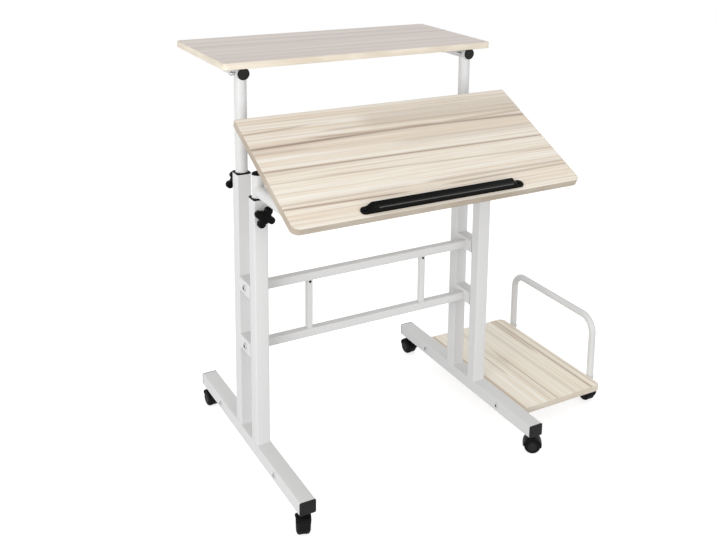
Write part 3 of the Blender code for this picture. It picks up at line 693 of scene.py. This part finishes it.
SADDLE_BEAD = 0.0012
SADDLE_POINTS = 200
PLUG_DEPTH = 0.014
PLUG_EDGE = 0.0004
CROWN_PART = 0.78
CROWN_TIP = 0.0002
CROWN_STEPS = 12
ARM_DOME = 0.0045
TUBE_DOME = 0.0065


def saddle(outline, radius):
    """How far short of a cross tube's axis each point of a coped end stops, on its round side."""
    return -np.sqrt(radius**2 - outline[:, 0] ** 2)


def round_tube(origin, axis, length, coped=False):
    """Two circles carried along an axis. A coped far end stops on a cross tube's round side."""
    outer = circle(TUBE_RADIUS)
    inner = circle(TUBE_RADIUS - TUBE_WALL)
    far = [length + saddle(ring, TUBE_RADIUS + GAP) if coped else length for ring in (outer, inner)]
    return skin(put(hollow(outer, inner, length, *far), origin, axis), closed=True)


def saddle_bead(origin, axis, length):
    """The weld round a coped end, along the curve in which the two tubes meet."""
    ring = circle(TUBE_RADIUS, SADDLE_POINTS)
    path = put(lifted(ring, length + saddle(ring, TUBE_RADIUS + GAP)), origin, axis)
    out = lifted(ring / TUBE_RADIUS, 0) @ basis(axis)
    return bead(path, out, np.broadcast_to(basis(axis)[2], out.shape), SADDLE_BEAD)


def end_plug(origin, axis, dome):
    """A domed plug: shank, rim as wide as the tube, and a quarter ellipse up to the crown."""
    shank = TUBE_RADIUS - TUBE_WALL - GAP
    rim = [
        (shank, -PLUG_DEPTH), (shank, GAP),
        (TUBE_RADIUS - PLUG_EDGE, GAP), (TUBE_RADIUS, GAP + PLUG_EDGE),
    ]
    rise = dome * CROWN_PART
    crown = quarter(TUBE_RADIUS - CROWN_TIP, rise, CROWN_TIP, dome - rise, 0, 90, CROWN_STEPS)
    return skin(put(turned(np.vstack([rim, crown])), origin, axis))


def upper_sides():
    """Each side of the upper deck: an upright, coped and welded to an arm with two plugs."""
    for side in SIDES:
        tube = f"inner_tube_rear_{side}"
        arm = f"upper_arm_{side}"
        arm_middle = middle(arm)
        bottom = middle(tube) - (0, 0, extent(tube)[2] / 2)
        length = arm_middle[2] - bottom[2]
        reach = np.array([0, extent(arm)[1] / 2, 0])
        upright = round_tube(bottom, FLAT, length, True)
        weld = saddle_bead(bottom, FLAT, length)
        bar = round_tube(arm_middle - reach, (0, 1, 0), 2 * reach[1])
        front_plug = end_plug(arm_middle - reach, (0, -1, 0), ARM_DOME)
        rear_plug = end_plug(arm_middle + reach, (0, 1, 0), ARM_DOME)
        piece(f"{tube}_steel", [upright], [WHITE], "upper_deck", [tube])
        piece(f"upper_weld_{side}", [weld], [WHITE], "upper_deck")
        piece(f"{arm}_steel", [bar], [WHITE], "upper_deck", [arm])
        piece(f"arm_plug_{side}_cap", [front_plug], [CAP], "upper_deck", [f"arm_plug_{side}"])
        piece(f"arm_plug_rear_{side}", [rear_plug], [BLACK], "upper_deck")


LUG_ROUND = 0.0065
LUG_SUNK = 0.0012
LUG_THICKNESS = 0.003
LUG_POINTS = 96
LUG_FACE = LEG_X - TUBE_RADIUS - LUG_THICKNESS
PIN_POINTS = 32
HINGE_PIN = (
    (0.003, -0.001), (0.003, 0.0037), (0.0045, 0.0037), (0.0045, 0.0049), (0.0038, 0.0054),
    (0.0004, 0.0054),
)


def lug(sunk, free):
    """The plate round hinge, lock and arm: in each direction, the furthest centre and its round."""
    centres = np.array([
        (HINGE_Y, HINGE_Z), (LOCK_Y, LOCK_Z), (HINGE_Y, LOWER_ARM_Z), (LOCK_Y, LOWER_ARM_Z),
    ])
    ways = circle(1.0, LUG_POINTS)
    outline = centres[np.argmax(centres @ ways.T, axis=0)] + LUG_ROUND * ways
    return skin(np.stack([stood_at(x, outline) + ORIGIN for x in (sunk, free)]))


def lower_sides():
    """Each side of the lower lift: a capped upright, and an arm with its weld, lug and pin."""
    for side, sign in SIDES.items():
        tube = f"inner_tube_front_{side}"
        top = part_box(tube)[1][2]
        bottom = middle(tube) - (0, 0, extent(tube)[2] / 2)
        upright = round_tube(bottom, FLAT, extent(tube)[2])
        crown = end_plug(bottom * (1, 1, 0) + (0, 0, top), FLAT, TUBE_DOME)
        front = at(sign * LEG_X, LOWER_ARM_FRONT, LOWER_ARM_Z)
        length = -LOWER_ARM_FRONT - POST_Y
        hinge = at(sign * LUG_FACE, HINGE_Y, HINGE_Z)
        shells = [
            round_tube(front, (0, 1, 0), length, True),
            saddle_bead(front, (0, 1, 0), length),
            lug(sign * (LEG_X - TUBE_RADIUS + LUG_SUNK), sign * LUG_FACE),
            skin(put(turned(HINGE_PIN, PIN_POINTS), hinge, (-sign, 0, 0))),
        ]
        plug = end_plug(front, (0, -1, 0), ARM_DOME)
        piece(f"{tube}_steel", [upright], [WHITE], "lower_lift", [tube])
        piece(f"tube_dome_{side}_cap", [crown], [BLACK], "lower_lift", [f"tube_dome_{side}"])
        piece(f"lower_arm_{side}_steel", shells, [WHITE], "lower_lift", [f"lower_arm_{side}"])
        piece(f"lower_arm_plug_{side}", [plug], [BLACK], "lower_lift")


# Knobs

STAR_TURNS = {"front_left": 14, "rear_left": 24, "front_right": 70, "rear_right": 40}
STAR_REACH = 0.025
STAR_HUB = 0.014
STAR_LOBE_AT = 0.0168
STAR_LOBE = 0.008
STAR_MELT = 6
STAR_POINTS = 192
# Radius, or part of the outline in the body, and height over the post's face.
STAR_SLEEVE = (
    (0.004, 0.0), (0.004, 0.0003), (0.009, 0.0003), (0.009, 0.0138), (0.0098, 0.014),
)
STAR_BODY = (
    (0.86, 0.014), (0.95, 0.0146), (0.99, 0.0158), (1.0, 0.0178), (1.0, 0.024),
    (0.988, 0.0262), (0.955, 0.028), (0.9, 0.0292), (0.82, 0.0298),
)
STAR_CROWN = ((0.0098, 0.0299), (0.0092, 0.0296), (0.0086, 0.0292), (0.0004, 0.0292))
STAR_CAP = (
    (0.0084, 0.0288), (0.0084, 0.0294), (0.0078, 0.0298), (0.004, 0.03), (0.0004, 0.03),
)
STAR_STUD = ((0.004, -0.0018), (0.004, 0.0006))


def star_knobs():
    """Four round lobes about a hub. Along a ray the lobe's circle reaches d cos a + sqrt(r r - d d
    sin a sin a), a power mean melts it into the hub, and a dome profile scales the outline over the
    knob's thickness."""
    ray = circle(1.0, STAR_POINTS)
    for side in SIDES:
        for end, along in ENDS.items():
            node = f"star_knob_{end}_{side}"
            first = math.radians(STAR_TURNS[f"{end}_{side}"])
            swing = (np.arctan2(ray[:, 1], ray[:, 0]) - first) % (math.pi / 2) - math.pi / 4
            room = np.maximum(STAR_LOBE**2 - (STAR_LOBE_AT * np.sin(swing)) ** 2, 0)
            lobe = np.where(room > 0, STAR_LOBE_AT * np.cos(swing) + np.sqrt(room), 0)
            reach = (lobe**STAR_MELT + STAR_HUB**STAR_MELT) ** (1 / STAR_MELT)
            reach *= STAR_REACH / reach.max()
            rings = [lifted(ray * radius, height) for radius, height in STAR_SLEEVE]
            rings += [lifted(ray * (reach * scale)[:, None], height) for scale, height in STAR_BODY]
            rings += [lifted(ray * radius, height) for radius, height in STAR_CROWN]
            face = middle(node)
            face[1] = middle(f"post_{end}_{side}")[1] + along * POST_SIDE / 2
            shapes = (rings, turned(STAR_CAP), turned(STAR_STUD, SMALL_ROUND))
            shells = [skin(put(shape, face, (0, along, 0))) for shape in shapes]
            piece(f"{node}_grip", shells, [BLACK], node, [node])


LOCK_RADIUS = 0.01
LOCK_POINTS = 144
LOCK_FLUTES = 12
LOCK_FLUTE_DEPTH = 0.05
# Part of the radius, height over the lug's face and strength of the flutes.
LOCK_STATIONS = (
    (0.85, 0.0038, 0), (0.94, 0.0044, 0.6), (0.99, 0.0056, 1), (1.0, 0.0072, 1), (1.0, 0.019, 1),
    (0.96, 0.0208, 1), (0.88, 0.0216, 0.6), (0.78, 0.0218, 0), (0.52, 0.0218, 0),
    (0.48, 0.0212, 0), (0.04, 0.0212, 0),
)
LOCK_STUD = ((0.003, -0.003), (0.003, 0.0042))


def lock_knobs():
    """A round knob: shallow flutes run along its side, and its ends are rounded."""
    ray = circle(1.0, LOCK_POINTS)
    wave = 0.5 + 0.5 * np.cos(LOCK_FLUTES * np.arctan2(ray[:, 1], ray[:, 0]))
    flute = LOCK_FLUTE_DEPTH * wave**2
    rings = [
        lifted(ray * (LOCK_RADIUS * scale * (1 - depth * flute))[:, None], height)
        for scale, height, depth in LOCK_STATIONS
    ]
    for side, sign in SIDES.items():
        node = f"lock_knob_{side}"
        face = at(sign * LUG_FACE, LOCK_Y, LOCK_Z)
        shapes = (rings, turned(LOCK_STUD, SMALL_ROUND))
        shells = [skin(put(shape, face, (-sign, 0, 0))) for shape in shapes]
        piece(f"{node}_grip", shells, [BLACK], node, [node])


# Pen stop

STOP_LENGTH = 0.398
STOP_BLOCK = 0.356
STOP_DEPTH = 0.0205
STOP_HEIGHT = 0.014
STOP_TAB = 0.0032
STOP_TAB_RUN = 0.001
STOP_FROM_FRONT = 0.0192
STOP_SLOPE = 0.014
STOP_STATIONS = 9
STOP_FIRST_TURN = 0.12
STOP_SHARP = 50.0
# Parts of half the depth and of the height: steep front, ridge, shallow tray, rounded back.
STOP_SECTION = np.array([
    (-1.0, 0.0), (-1.0, 0.1), (-1.0, 0.8), (-0.985, 0.92), (-0.95, 0.985), (-0.9, 1.0),
    (-0.84, 0.99), (-0.79, 0.95), (-0.1, 0.925), (0.72, 0.945), (0.86, 0.955), (0.95, 0.93),
    (0.99, 0.86), (1.0, 0.76), (1.0, 0.1), (1.0, 0.0),
])
STOP_RIDGE = (-0.93, 0.955)
STOP_RIDGE_RADIUS = 0.001
STOP_RIDGE_SIDES = 16
STOP_SCREW = ((0.0036, 0.0), (0.0036, 0.0006), (0.003, 0.0013), (0.0016, 0.0017), (0.0003, 0.0018))
STOP_SCREW_IN = 0.85
STOP_SCREW_SEAT = 0.9


def pen_stop():
    """A ledge swept along X: its section slopes down at both ends to round tabs with a screw."""
    half = STOP_DEPTH / 2
    end = STOP_LENGTH / 2
    foot = STOP_BLOCK / 2 + STOP_SLOPE / 2
    stations = [
        (end - half * (1 - math.cos(turn)), half * math.sin(turn), STOP_TAB)
        for turn in np.linspace(STOP_FIRST_TURN, math.pi / 2, STOP_STATIONS)
    ]
    stations.append((foot + STOP_TAB_RUN, half, STOP_TAB))
    for share in np.linspace(0, 1, STOP_STATIONS):
        ease = share * share * (3 - 2 * share)
        tall = STOP_TAB + (STOP_HEIGHT - STOP_TAB) * ease
        stations.append((foot - STOP_SLOPE * share, half, tall))
    places = stations + [(-x, wide, tall) for x, wide, tall in reversed(stations)]
    rings = [stood_at(x, STOP_SECTION * (wide, tall)) for x, wide, tall in places]
    base = np.array([0, STOP_FROM_FRONT - HINGE_FROM_FRONT, BOARD_THICKNESS + HINGE_DROP + GAP])
    origin = at(0, HINGE_Y, HINGE_Z) + base @ basis(TILTED)
    shells = [skin(put(rings, origin, TILTED))]
    for sign in (-1, 1):
        seat = np.array([sign * (end - half * STOP_SCREW_IN), 0, STOP_TAB * STOP_SCREW_SEAT])
        screw = turned(STOP_SCREW, SMALL_ROUND)
        shells.append(skin(put(screw, origin + seat @ basis(TILTED), TILTED)))
    # A thin rod along the front arris in the lighter grey finish: painted highlight where the
    # rounded ridge catches light.
    ridge = circle(STOP_RIDGE_RADIUS, STOP_RIDGE_SIDES) + np.array(STOP_RIDGE) * (half, STOP_HEIGHT)
    ridge_reach = STOP_BLOCK / 2 - STOP_SLOPE
    rod = [stood_at(x, ridge) for x in (-ridge_reach, ridge_reach)]
    shells.append(skin(put(rod, origin, TILTED), slots=[1, 1, 1]))
    piece("pen_stop_ledge", shells, [GLOSSY, RIDGE_PAINTED_HIGHLIGHT], "tilt_table", ["pen_stop"], STOP_SHARP)


# Hoop

HOOP_BEND = 0.04
HOOP_BEND_STEPS = 20
HOOP_WALL = 0.0015
HOOP_SIDES = 40


def hoop():
    """A tube bent into an upside-down U: a circle carried up one leg, round two quarter bends and
    down the other."""
    low, high = [np.array(corner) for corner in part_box("shelf_hoop")]
    radius = (high[0] - low[0]) / 2
    half = (high[1] - low[1]) / 2 - radius
    top = high[2] - radius
    turn = np.linspace(0, math.pi / 2, HOOP_BEND_STEPS + 1)
    y = -half + HOOP_BEND * (1 - np.cos(turn))
    z = top - HOOP_BEND * (1 - np.sin(turn))
    path = np.vstack([[(-half, low[2], 0)], np.stack([y, z, turn], -1)])
    path = np.vstack([path, (path * (-1, 1, -1) + (0, 0, math.pi))[::-1]])
    ring = circle(1.0, HOOP_SIDES)

    def walls(size):
        across = np.broadcast_to(size * ring[:, 0], (len(path), len(ring)))
        y = path[:, :1] - size * ring[:, 1] * np.cos(path[:, 2:])
        z = path[:, 1:2] + size * ring[:, 1] * np.sin(path[:, 2:])
        return np.stack([across, y, z], -1)

    rings = np.vstack([walls(radius), walls(radius - HOOP_WALL)[::-1]])
    centre = np.array([(low[0] + high[0]) / 2, (low[1] + high[1]) / 2, 0])
    piece("hoop_tube", [skin(rings + centre, closed=True)], [WHITE], "base", ["shelf_hoop"])


# Casters

WHEEL_RADIUS = 0.02
TRAIL = 0.009
CASTERS = {
    "front_left": -20, "front_right": 55, "rear_left": 185, "rear_right": 187,
    "shelf_front": 180, "shelf_rear": 180,
}
HOOD_HALF = 0.0166
HOOD_INNER = 0.0206
HOOD_SHOULDER = 0.0214
HOOD_OUTER = 0.0234
HOOD_BULGE = 0.6
HOOD_BULGE_POINTS = 15
HOOD_STATIONS = 40
# The guard's two ends, in degrees round the axle, and over how many it is drawn in, and how far.
HOOD_TURN = (-20.0, 184.0)
HOOD_RUN = (85.0, 24.0)
HOOD_DRAWN_IN = (0.55, 0.35)
WEB_REACH = (0.0196, 0.0215)
WEB_RUN = 10.0
WEB_HALF = 0.004
WEB_POINTS = 96
AXLE_BORE = 0.0034


def caster_hood():
    """The guard: a barrel section carried round the axle, drawn in at both ends; and its web."""
    bulge = np.radians(np.linspace(-90, 90, HOOD_BULGE_POINTS))
    crown = HOOD_SHOULDER + (HOOD_OUTER - HOOD_SHOULDER) * np.cos(bulge) ** HOOD_BULGE
    across = np.concatenate([HOOD_HALF * np.sin(bulge), [HOOD_HALF, -HOOD_HALF]])
    reach = np.concatenate([crown, [HOOD_INNER, HOOD_INNER]])
    turn = np.linspace(*HOOD_TURN, HOOD_STATIONS)[:, None]
    taper = HOOD_DRAWN_IN[0] * np.clip((HOOD_TURN[0] - turn) / HOOD_RUN[0] + 1, 0, 1) ** 2
    taper += HOOD_DRAWN_IN[1] * np.clip((turn - HOOD_TURN[1]) / HOOD_RUN[1] + 1, 0, 1) ** 2
    rings = np.stack([
        across * (1 - taper),
        -TRAIL - reach * np.cos(np.radians(turn)),
        WHEEL_RADIUS + reach * np.sin(np.radians(turn)),
    ], -1)
    turn = np.linspace(-90, 270, WEB_POINTS, endpoint=False)
    lift = np.clip((turn - HOOD_TURN[0]) / WEB_RUN, 0, 1)
    lift *= np.clip((HOOD_TURN[1] - turn) / WEB_RUN, 0, 1)
    web_reach = WEB_REACH[0] + (WEB_REACH[1] - WEB_REACH[0]) * lift**2 * (3 - 2 * lift)

    def disc(size):
        y = -TRAIL - size * np.cos(np.radians(turn))
        return np.stack([y, WHEEL_RADIUS + size * np.sin(np.radians(turn))], -1)

    edge, hole = disc(web_reach), disc(AXLE_BORE)
    faces = [(-WEB_HALF, edge), (WEB_HALF, edge), (WEB_HALF, hole), (-WEB_HALF, hole)]
    web = np.stack([stood_at(x, outline) for x, outline in faces])
    return [skin(rings), skin(web, closed=True)]


NECK_CORNER = 0.0055
NECK_STEPS = 8
# Width, depth, shift and height of the neck's sections.
NECK_SECTIONS = (
    (0.02, 0.02, -0.006, 0.036), (0.019, 0.0196, -0.005, 0.04),
    (0.0178, 0.019, -0.003, 0.0435), (0.017, 0.018, -0.0012, 0.0465),
    (0.0168, 0.0172, 0.0, 0.0492),
)
PLATE_TOP = FOOT_BOTTOM - 0.0008
PLATE_POINTS = 40
# Radius and height from the plate's top, of the swivel plate and the stem.
PLATE = (
    (0.009, -0.0032), (0.0105, -0.0026), (0.0105, -0.0005), (0.01, 0.0), (0.005, 0.0),
    (0.005, 0.018),
)


def caster_neck():
    """The shoulder: rounded sections that shrink as they rise; then the swivel plate and stem."""
    rings = [
        lifted(rounded(wide, deep, NECK_CORNER, NECK_STEPS) + (0, shift), height)
        for wide, deep, shift, height in NECK_SECTIONS
    ]
    return [skin(rings), skin(turned(PLATE, PLATE_POINTS) + (0, 0, PLATE_TOP))]


# Radius and place along the axle: hub cap, domed face, rounded tread and inner face of one wheel.
WHEEL_HALF = np.vstack([
    [(0.0004, 0.0157), (0.0052, 0.0157), (0.006, 0.015), (0.0066, 0.015), (0.0072, 0.0156)],
    [(0.0104, 0.0155), (0.0132, 0.0152), (0.0146, 0.0147), (0.015, 0.0142), (0.0154, 0.0142)],
    quarter(0.0052, 0.0062, WHEEL_RADIUS - 0.0052, 0.008, 80, 0, 9),
    [(WHEEL_RADIUS, 0.0064)],
    quarter(0.0006, 0.0006, WHEEL_RADIUS - 0.0006, 0.005, 0, -90, 4),
    [(0.016, 0.0044), (0.005, 0.0044), (0.003, 0.0044)],
])
TYRE_FROM = 0.0103
WHEEL_POINTS = 64


def caster_wheels():
    """Two wheels on an axle: one wheel's profile and its mirror image, turned about it."""
    profile = np.vstack([WHEEL_HALF * (1, -1), WHEEL_HALF[::-1]])
    rubber = (profile[:-1, 0] >= TYRE_FROM) & (profile[1:, 0] >= TYRE_FROM)
    rings = turned(profile, WHEEL_POINTS) @ basis((1, 0, 0)) + (0, -TRAIL, WHEEL_RADIUS)
    return [skin(rings, slots=[*rubber.astype(int), 0, 0])]


STEM_INSET = 0.024
STEM_Y = extent("foot_left")[1] / 2 - STEM_INSET
HOOP_MIDDLE = middle("shelf_hoop")
HOOP_REACH = extent("shelf_hoop")[1] / 2 - extent("shelf_hoop")[0] / 2
STEMS = {
    f"{end}_{side}": at(sign * LEG_X, along * STEM_Y, 0)
    for side, sign in SIDES.items() for end, along in ENDS.items()
}
STEMS |= {
    f"shelf_{end}": HOOP_MIDDLE * (1, 1, 0) + (0, along * HOOP_REACH, 0)
    for end, along in ENDS.items()
}


def stood(shells, heading, stem):
    """Shells of a caster turned to a heading and set under its stem."""
    cos, sin = math.cos(math.radians(heading)), math.sin(math.radians(heading))
    spin = np.array([(cos, -sin, 0), (sin, cos, 0), (0, 0, 1)])
    return [(points @ spin.T + stem, faces, slots) for points, faces, slots in shells]


def casters():
    for name, heading in CASTERS.items():
        node = f"caster_{name}"
        guard = stood(caster_hood() + caster_neck(), heading, STEMS[name])
        wheels = stood(caster_wheels(), heading, STEMS[name])
        piece(f"{node}_hood", guard, [GUARD], f"{node}_fork", [f"{node}_body"])
        piece(f"{node}_tyres", wheels, [CAP, TREAD], f"{node}_wheel", [f"{node}_wheels"])


# Fasteners: radius and height of each kind of head, and where they sit.
FOOT_BOLT = (0.0046, 0.0014)
FOOT_BOLT_Z = 0.0685
TIE_BOLT = (0.0066, 0.0016)
HOOP_BOLT = (0.0036, 0.0018)
HOOP_BOLT_Z = 0.0674
HOOP_BOLT_SUNK = 0.0004
STRUT_SCREW = (0.003, 0.0018)
STRUT_SCREW_DROP = 0.004
ARM_SCREW = (0.0042, 0.0024)
ARM_SCREW_PLACES = (0.1, 0.21)
ARM_SCREW_SUNK = 0.0002
ARM_STUD = (
    (0.003, -0.001), (0.003, 0.0075), (0.0048, 0.0075), (0.0048, 0.0112), (0.0042, 0.012),
    (0.0004, 0.012),
)
ARM_STUD_PLACE = -0.004
ARM_STUD_SUNK = 0.0006
TILT_SCREW = (0.0038, 0.0022)
TILT_SCREW_PLACES = (-0.014, 0.04, 0.098)
TILT_SCREW_IN = 0.0184
QUADRANT_FLANGE = 0.0025
HEAD_SHARP = 30.0

# A bolt's washer, with its radius in parts of the head's, and the parts of its dome and socket.
WASHER = np.array([(1.32, 0.0), (1.32, 0.0008), (1.26, 0.0011), (0.9, 0.0011)])
WASHER_TOP = 0.0011
BOLT_ROUND = 0.34
SOCKET_SIZES = (0.6, 0.59, 0.02)
SOCKET_FLOOR = 0.0007


def button_bolt(origin, axis, radius, height):
    """A domed head over a washer, with a socket: its crown steps down into a six-sided ring."""
    ray = circle(1.0)
    hexagon = 1 / np.cos((np.arctan2(ray[:, 1], ray[:, 0]) % (math.pi / 3)) - math.pi / 6)
    rounding = radius * BOLT_ROUND
    dome = turned(quarter(rounding, height, radius - rounding, WASHER_TOP, 0, 90, 8))
    levels = (WASHER_TOP + height, WASHER_TOP + SOCKET_FLOOR, WASHER_TOP + SOCKET_FLOOR)
    socket = [
        lifted(ray * (radius * size * hexagon)[:, None], level)
        for size, level in zip(SOCKET_SIZES, levels)
    ]
    # Slot 1, black where the bolts are made, covers the socket's walls and floor: painted shade in
    # the recess.
    slots = [0] * len(dome) + [1, 1, 0, 1]
    head = skin(put(np.vstack([dome, socket]), origin, axis), slots=slots)
    return [skin(put(turned(WASHER * (radius, 1)), origin, axis)), head]


CROSS_ARM = 0.985
CROSS_FROM = 0.45
CROSS_DIP = 0.55
HEAD_RIM = 0.4
HEAD_POINTS = 64
HEAD_SHARES = (0.1, 0.98, 9)


def cross_screw(origin, axis, radius, height):
    """A pan head with a cross recess: along its arms the head's crown dips towards the middle."""
    ray = circle(1.0, HEAD_POINTS)
    arm = np.abs(ray).max(1) > CROSS_ARM
    rings = [lifted(ray * radius, 0), lifted(ray * radius, height * HEAD_RIM)]
    for share in np.linspace(*HEAD_SHARES):
        turn = share * math.pi / 2
        dip = np.where(arm & (share > CROSS_FROM), height * CROSS_DIP, 0)
        level = height * (HEAD_RIM + (1 - HEAD_RIM) * math.sin(turn))
        rings.append(lifted(ray * radius * math.cos(turn), level - dip))
    return [skin(put(np.stack(rings), origin, axis))]


def fasteners():
    feet = []
    ties = []
    for side, sign in SIDES.items():
        face = middle(f"foot_{side}")[0] - extent(f"foot_{side}")[0] / 2
        for along in ENDS.values():
            spot = (face, ORIGIN[1] + along * HOOP_REACH, FOOT_BOLT_Z)
            feet += button_bolt(spot, (-1, 0, 0), *FOOT_BOLT)
        for height in ("lower", "upper"):
            spot = middle(f"tie_{height}_{side}") + (sign * POST_SIDE / 2, 0, 0)
            ties += button_bolt(spot, (sign, 0, 0), *TIE_BOLT)
    outer = extent("shelf_hoop")[0] / 2 - HOOP_BOLT_SUNK
    for along in ENDS.values():
        spot = HOOP_MIDDLE * (1, 1, 0) + (outer, along * HOOP_REACH, HOOP_BOLT_Z)
        feet += button_bolt(spot, (1, 0, 0), *HOOP_BOLT)
    # Their second finish, black, is painted shade in the bolts' sockets.
    piece("foot_bolts", feet, [ZINC, BLACK], "base", sharp=HEAD_SHARP)
    piece("tie_bolts", ties, [ZINC, BLACK], "base", sharp=HEAD_SHARP)

    screws = []
    for side in SIDES:
        x, y, _ = middle(f"strut_{side}")
        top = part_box(f"strut_{side}")[1][2]
        spot = (x, y - extent(f"strut_{side}")[1] / 2, top - STRUT_SCREW_DROP)
        screws += cross_screw(spot, (0, -1, 0), *STRUT_SCREW)
    piece("strut_screws", screws, [BLACK], "base", sharp=HEAD_SHARP)

    studs = []
    for side in SIDES:
        x, _, z = middle(f"upper_arm_{side}")
        y = middle(f"inner_tube_rear_{side}")[1]
        spot = (x - TUBE_RADIUS + ARM_STUD_SUNK, y + ARM_STUD_PLACE, z)
        studs.append(skin(put(turned(ARM_STUD, SMALL_ROUND), spot, (-1, 0, 0))))
        for place in ARM_SCREW_PLACES:
            spot = (x, y + place, z - TUBE_RADIUS + ARM_SCREW_SUNK)
            studs += cross_screw(spot, (0, 0, -1), *ARM_SCREW)
    piece("upper_screws", studs, [ZINC], "upper_deck", sharp=HEAD_SHARP)

    clamps = []
    hinge = at(0, HINGE_Y, HINGE_Z)
    for sign in SIDES.values():
        for place in TILT_SCREW_PLACES:
            x = sign * (LEG_X - TUBE_RADIUS - TILT_SCREW_IN)
            spot = np.array([x, place, HINGE_DROP - GAP - QUADRANT_FLANGE]) @ basis(TILTED)
            clamps += cross_screw(hinge + spot, -np.array(TILTED), *TILT_SCREW)
    piece("tilt_screws", clamps, [ZINC], "tilt_table", sharp=HEAD_SHARP)


boards()
base_frame()
foot_plugs()
collars()
upper_sides()
lower_sides()
star_knobs()
lock_knobs()
pen_stop()
hoop()
casters()
fasteners()
for side in SIDES:
    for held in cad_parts[f"tilt_quadrant_{side}"].material_slots:
        held.material = WHITE


# Studio

AMBIENT = 0.77
FLOOR_SHADE = 0.55
FLOOR_MOTTLE = 0.01
FLOOR_LIFT = 0.72
FLOOR_HALF = 2.6
LAMP_TARGET = np.array((0.0, 0.0, 0.45))
# Place, width and power.
LAMPS = {
    "key": ((-3.3, -2.0, 1.1), 3.2, 80.0),
    "fill": ((1.0, -3.8, 1.2), 3.0, 36.0),
}


def seen_direct(paint):
    """1 on rays from the camera and reflected or refracted ones, 0 on rays that light the desk."""
    kinds = ("Camera", "Glossy", "Transmission")
    seen = [paint.node("LightPath", output=f"Is {kind} Ray") for kind in kinds]
    return paint.math("MAXIMUM", paint.math("MAXIMUM", seen[0], seen[1]), seen[2])


def studio():
    scene = bpy.context.scene
    scene.view_settings.view_transform = "Standard"
    world = bpy.data.worlds.new("studio")
    scene.world = world
    world.use_nodes = True
    world.node_tree.nodes.clear()
    paint = Paint(world.node_tree)
    lit = paint.node("Background", None, {"Color": colour(1, 1, 1), "Strength": AMBIENT})
    shown = paint.node("Background", None, {"Color": colour(1, 1, 1), "Strength": 1.0})
    both = paint.node("MixShader", None, {0: seen_direct(paint), 1: lit, 2: shown})
    paint.node("OutputWorld", None, {"Surface": both})

    mesh = bpy.data.meshes.new("floor")
    corners = [(FLOOR_HALF * x, FLOOR_HALF * y, 0) for x, y in ((-1, -1), (1, -1), (1, 1), (-1, 1))]
    mesh.from_pydata(corners, [], [(0, 1, 2, 3)])
    made, paint, shader, spot = finish(
        "pale_floor", Roughness=0.9, Specular_IOR_Level=0.0, Emission_Strength=1.0,
    )
    cloud = paint.noise(spot, scale=1.2)
    dark, pale = [colour(*[FLOOR_SHADE + part] * 3) for part in (-FLOOR_MOTTLE, FLOOR_MOTTLE)]
    coat(
        paint, shader,
        Base_Color=cloud.blend(dark, pale),
        Emission_Color=seen_direct(paint).blend(colour(0, 0, 0), colour(*[FLOOR_LIFT] * 3)),
    )
    mesh.materials.append(made)
    floor = bpy.data.objects.new("floor", mesh)
    scene.collection.objects.link(floor)

    for name, (place, width, power) in LAMPS.items():
        lamp = bpy.data.lights.new(name, "AREA")
        lamp.shape = "DISK"
        lamp.size = width
        lamp.energy = power
        item = bpy.data.objects.new(name, lamp)
        item.matrix_world = look(place, LAMP_TARGET - place)
        scene.collection.objects.link(item)


def look(place, forward, roll=0.0):
    """The matrix of a camera or lamp: its -Z looks forward, its X is level but for the roll."""
    forward = np.array(forward, float) / np.linalg.norm(forward)
    right = np.cross(forward, (0, 0, 1))
    right /= np.linalg.norm(right)
    down = np.cross(forward, right)
    turned_right = math.cos(roll) * right + math.sin(roll) * down
    turned_down = math.cos(roll) * down - math.sin(roll) * right
    rows = np.eye(4)
    rows[:3, :3] = np.stack([turned_right, -turned_down, -forward], -1)
    rows[:3, 3] = place
    return Matrix(rows.tolist())


# Camera: place, turn, pitch, roll, focal length in pixels, and the pixel it faces, of this picture.
CAMERA_PLACE = (-1.05022, -1.95887, 1.36263)
CAMERA_YAW = math.radians(31.0081)
CAMERA_PITCH = math.radians(11.5896)
CAMERA_ROLL = math.radians(-1.2245)
FOCAL_PIXELS = 972.33
FACED_PIXEL = (416.1, 75.2)
PICTURE = (716, 540)


def camera():
    lens = bpy.data.cameras.new("camera")
    lens.sensor_width = 36.0
    lens.lens = FOCAL_PIXELS * lens.sensor_width / PICTURE[0]
    lens.shift_x = (PICTURE[0] / 2 - FACED_PIXEL[0]) / PICTURE[0]
    lens.shift_y = (FACED_PIXEL[1] - PICTURE[1] / 2) / PICTURE[0]
    level = math.cos(CAMERA_PITCH)
    forward = (math.sin(CAMERA_YAW) * level, math.cos(CAMERA_YAW) * level, -math.sin(CAMERA_PITCH))
    item = bpy.data.objects.new("camera", lens)
    item.matrix_world = look(at(*CAMERA_PLACE), forward, CAMERA_ROLL)
    bpy.context.scene.collection.objects.link(item)
    bpy.context.scene.camera = item


studio()
camera()
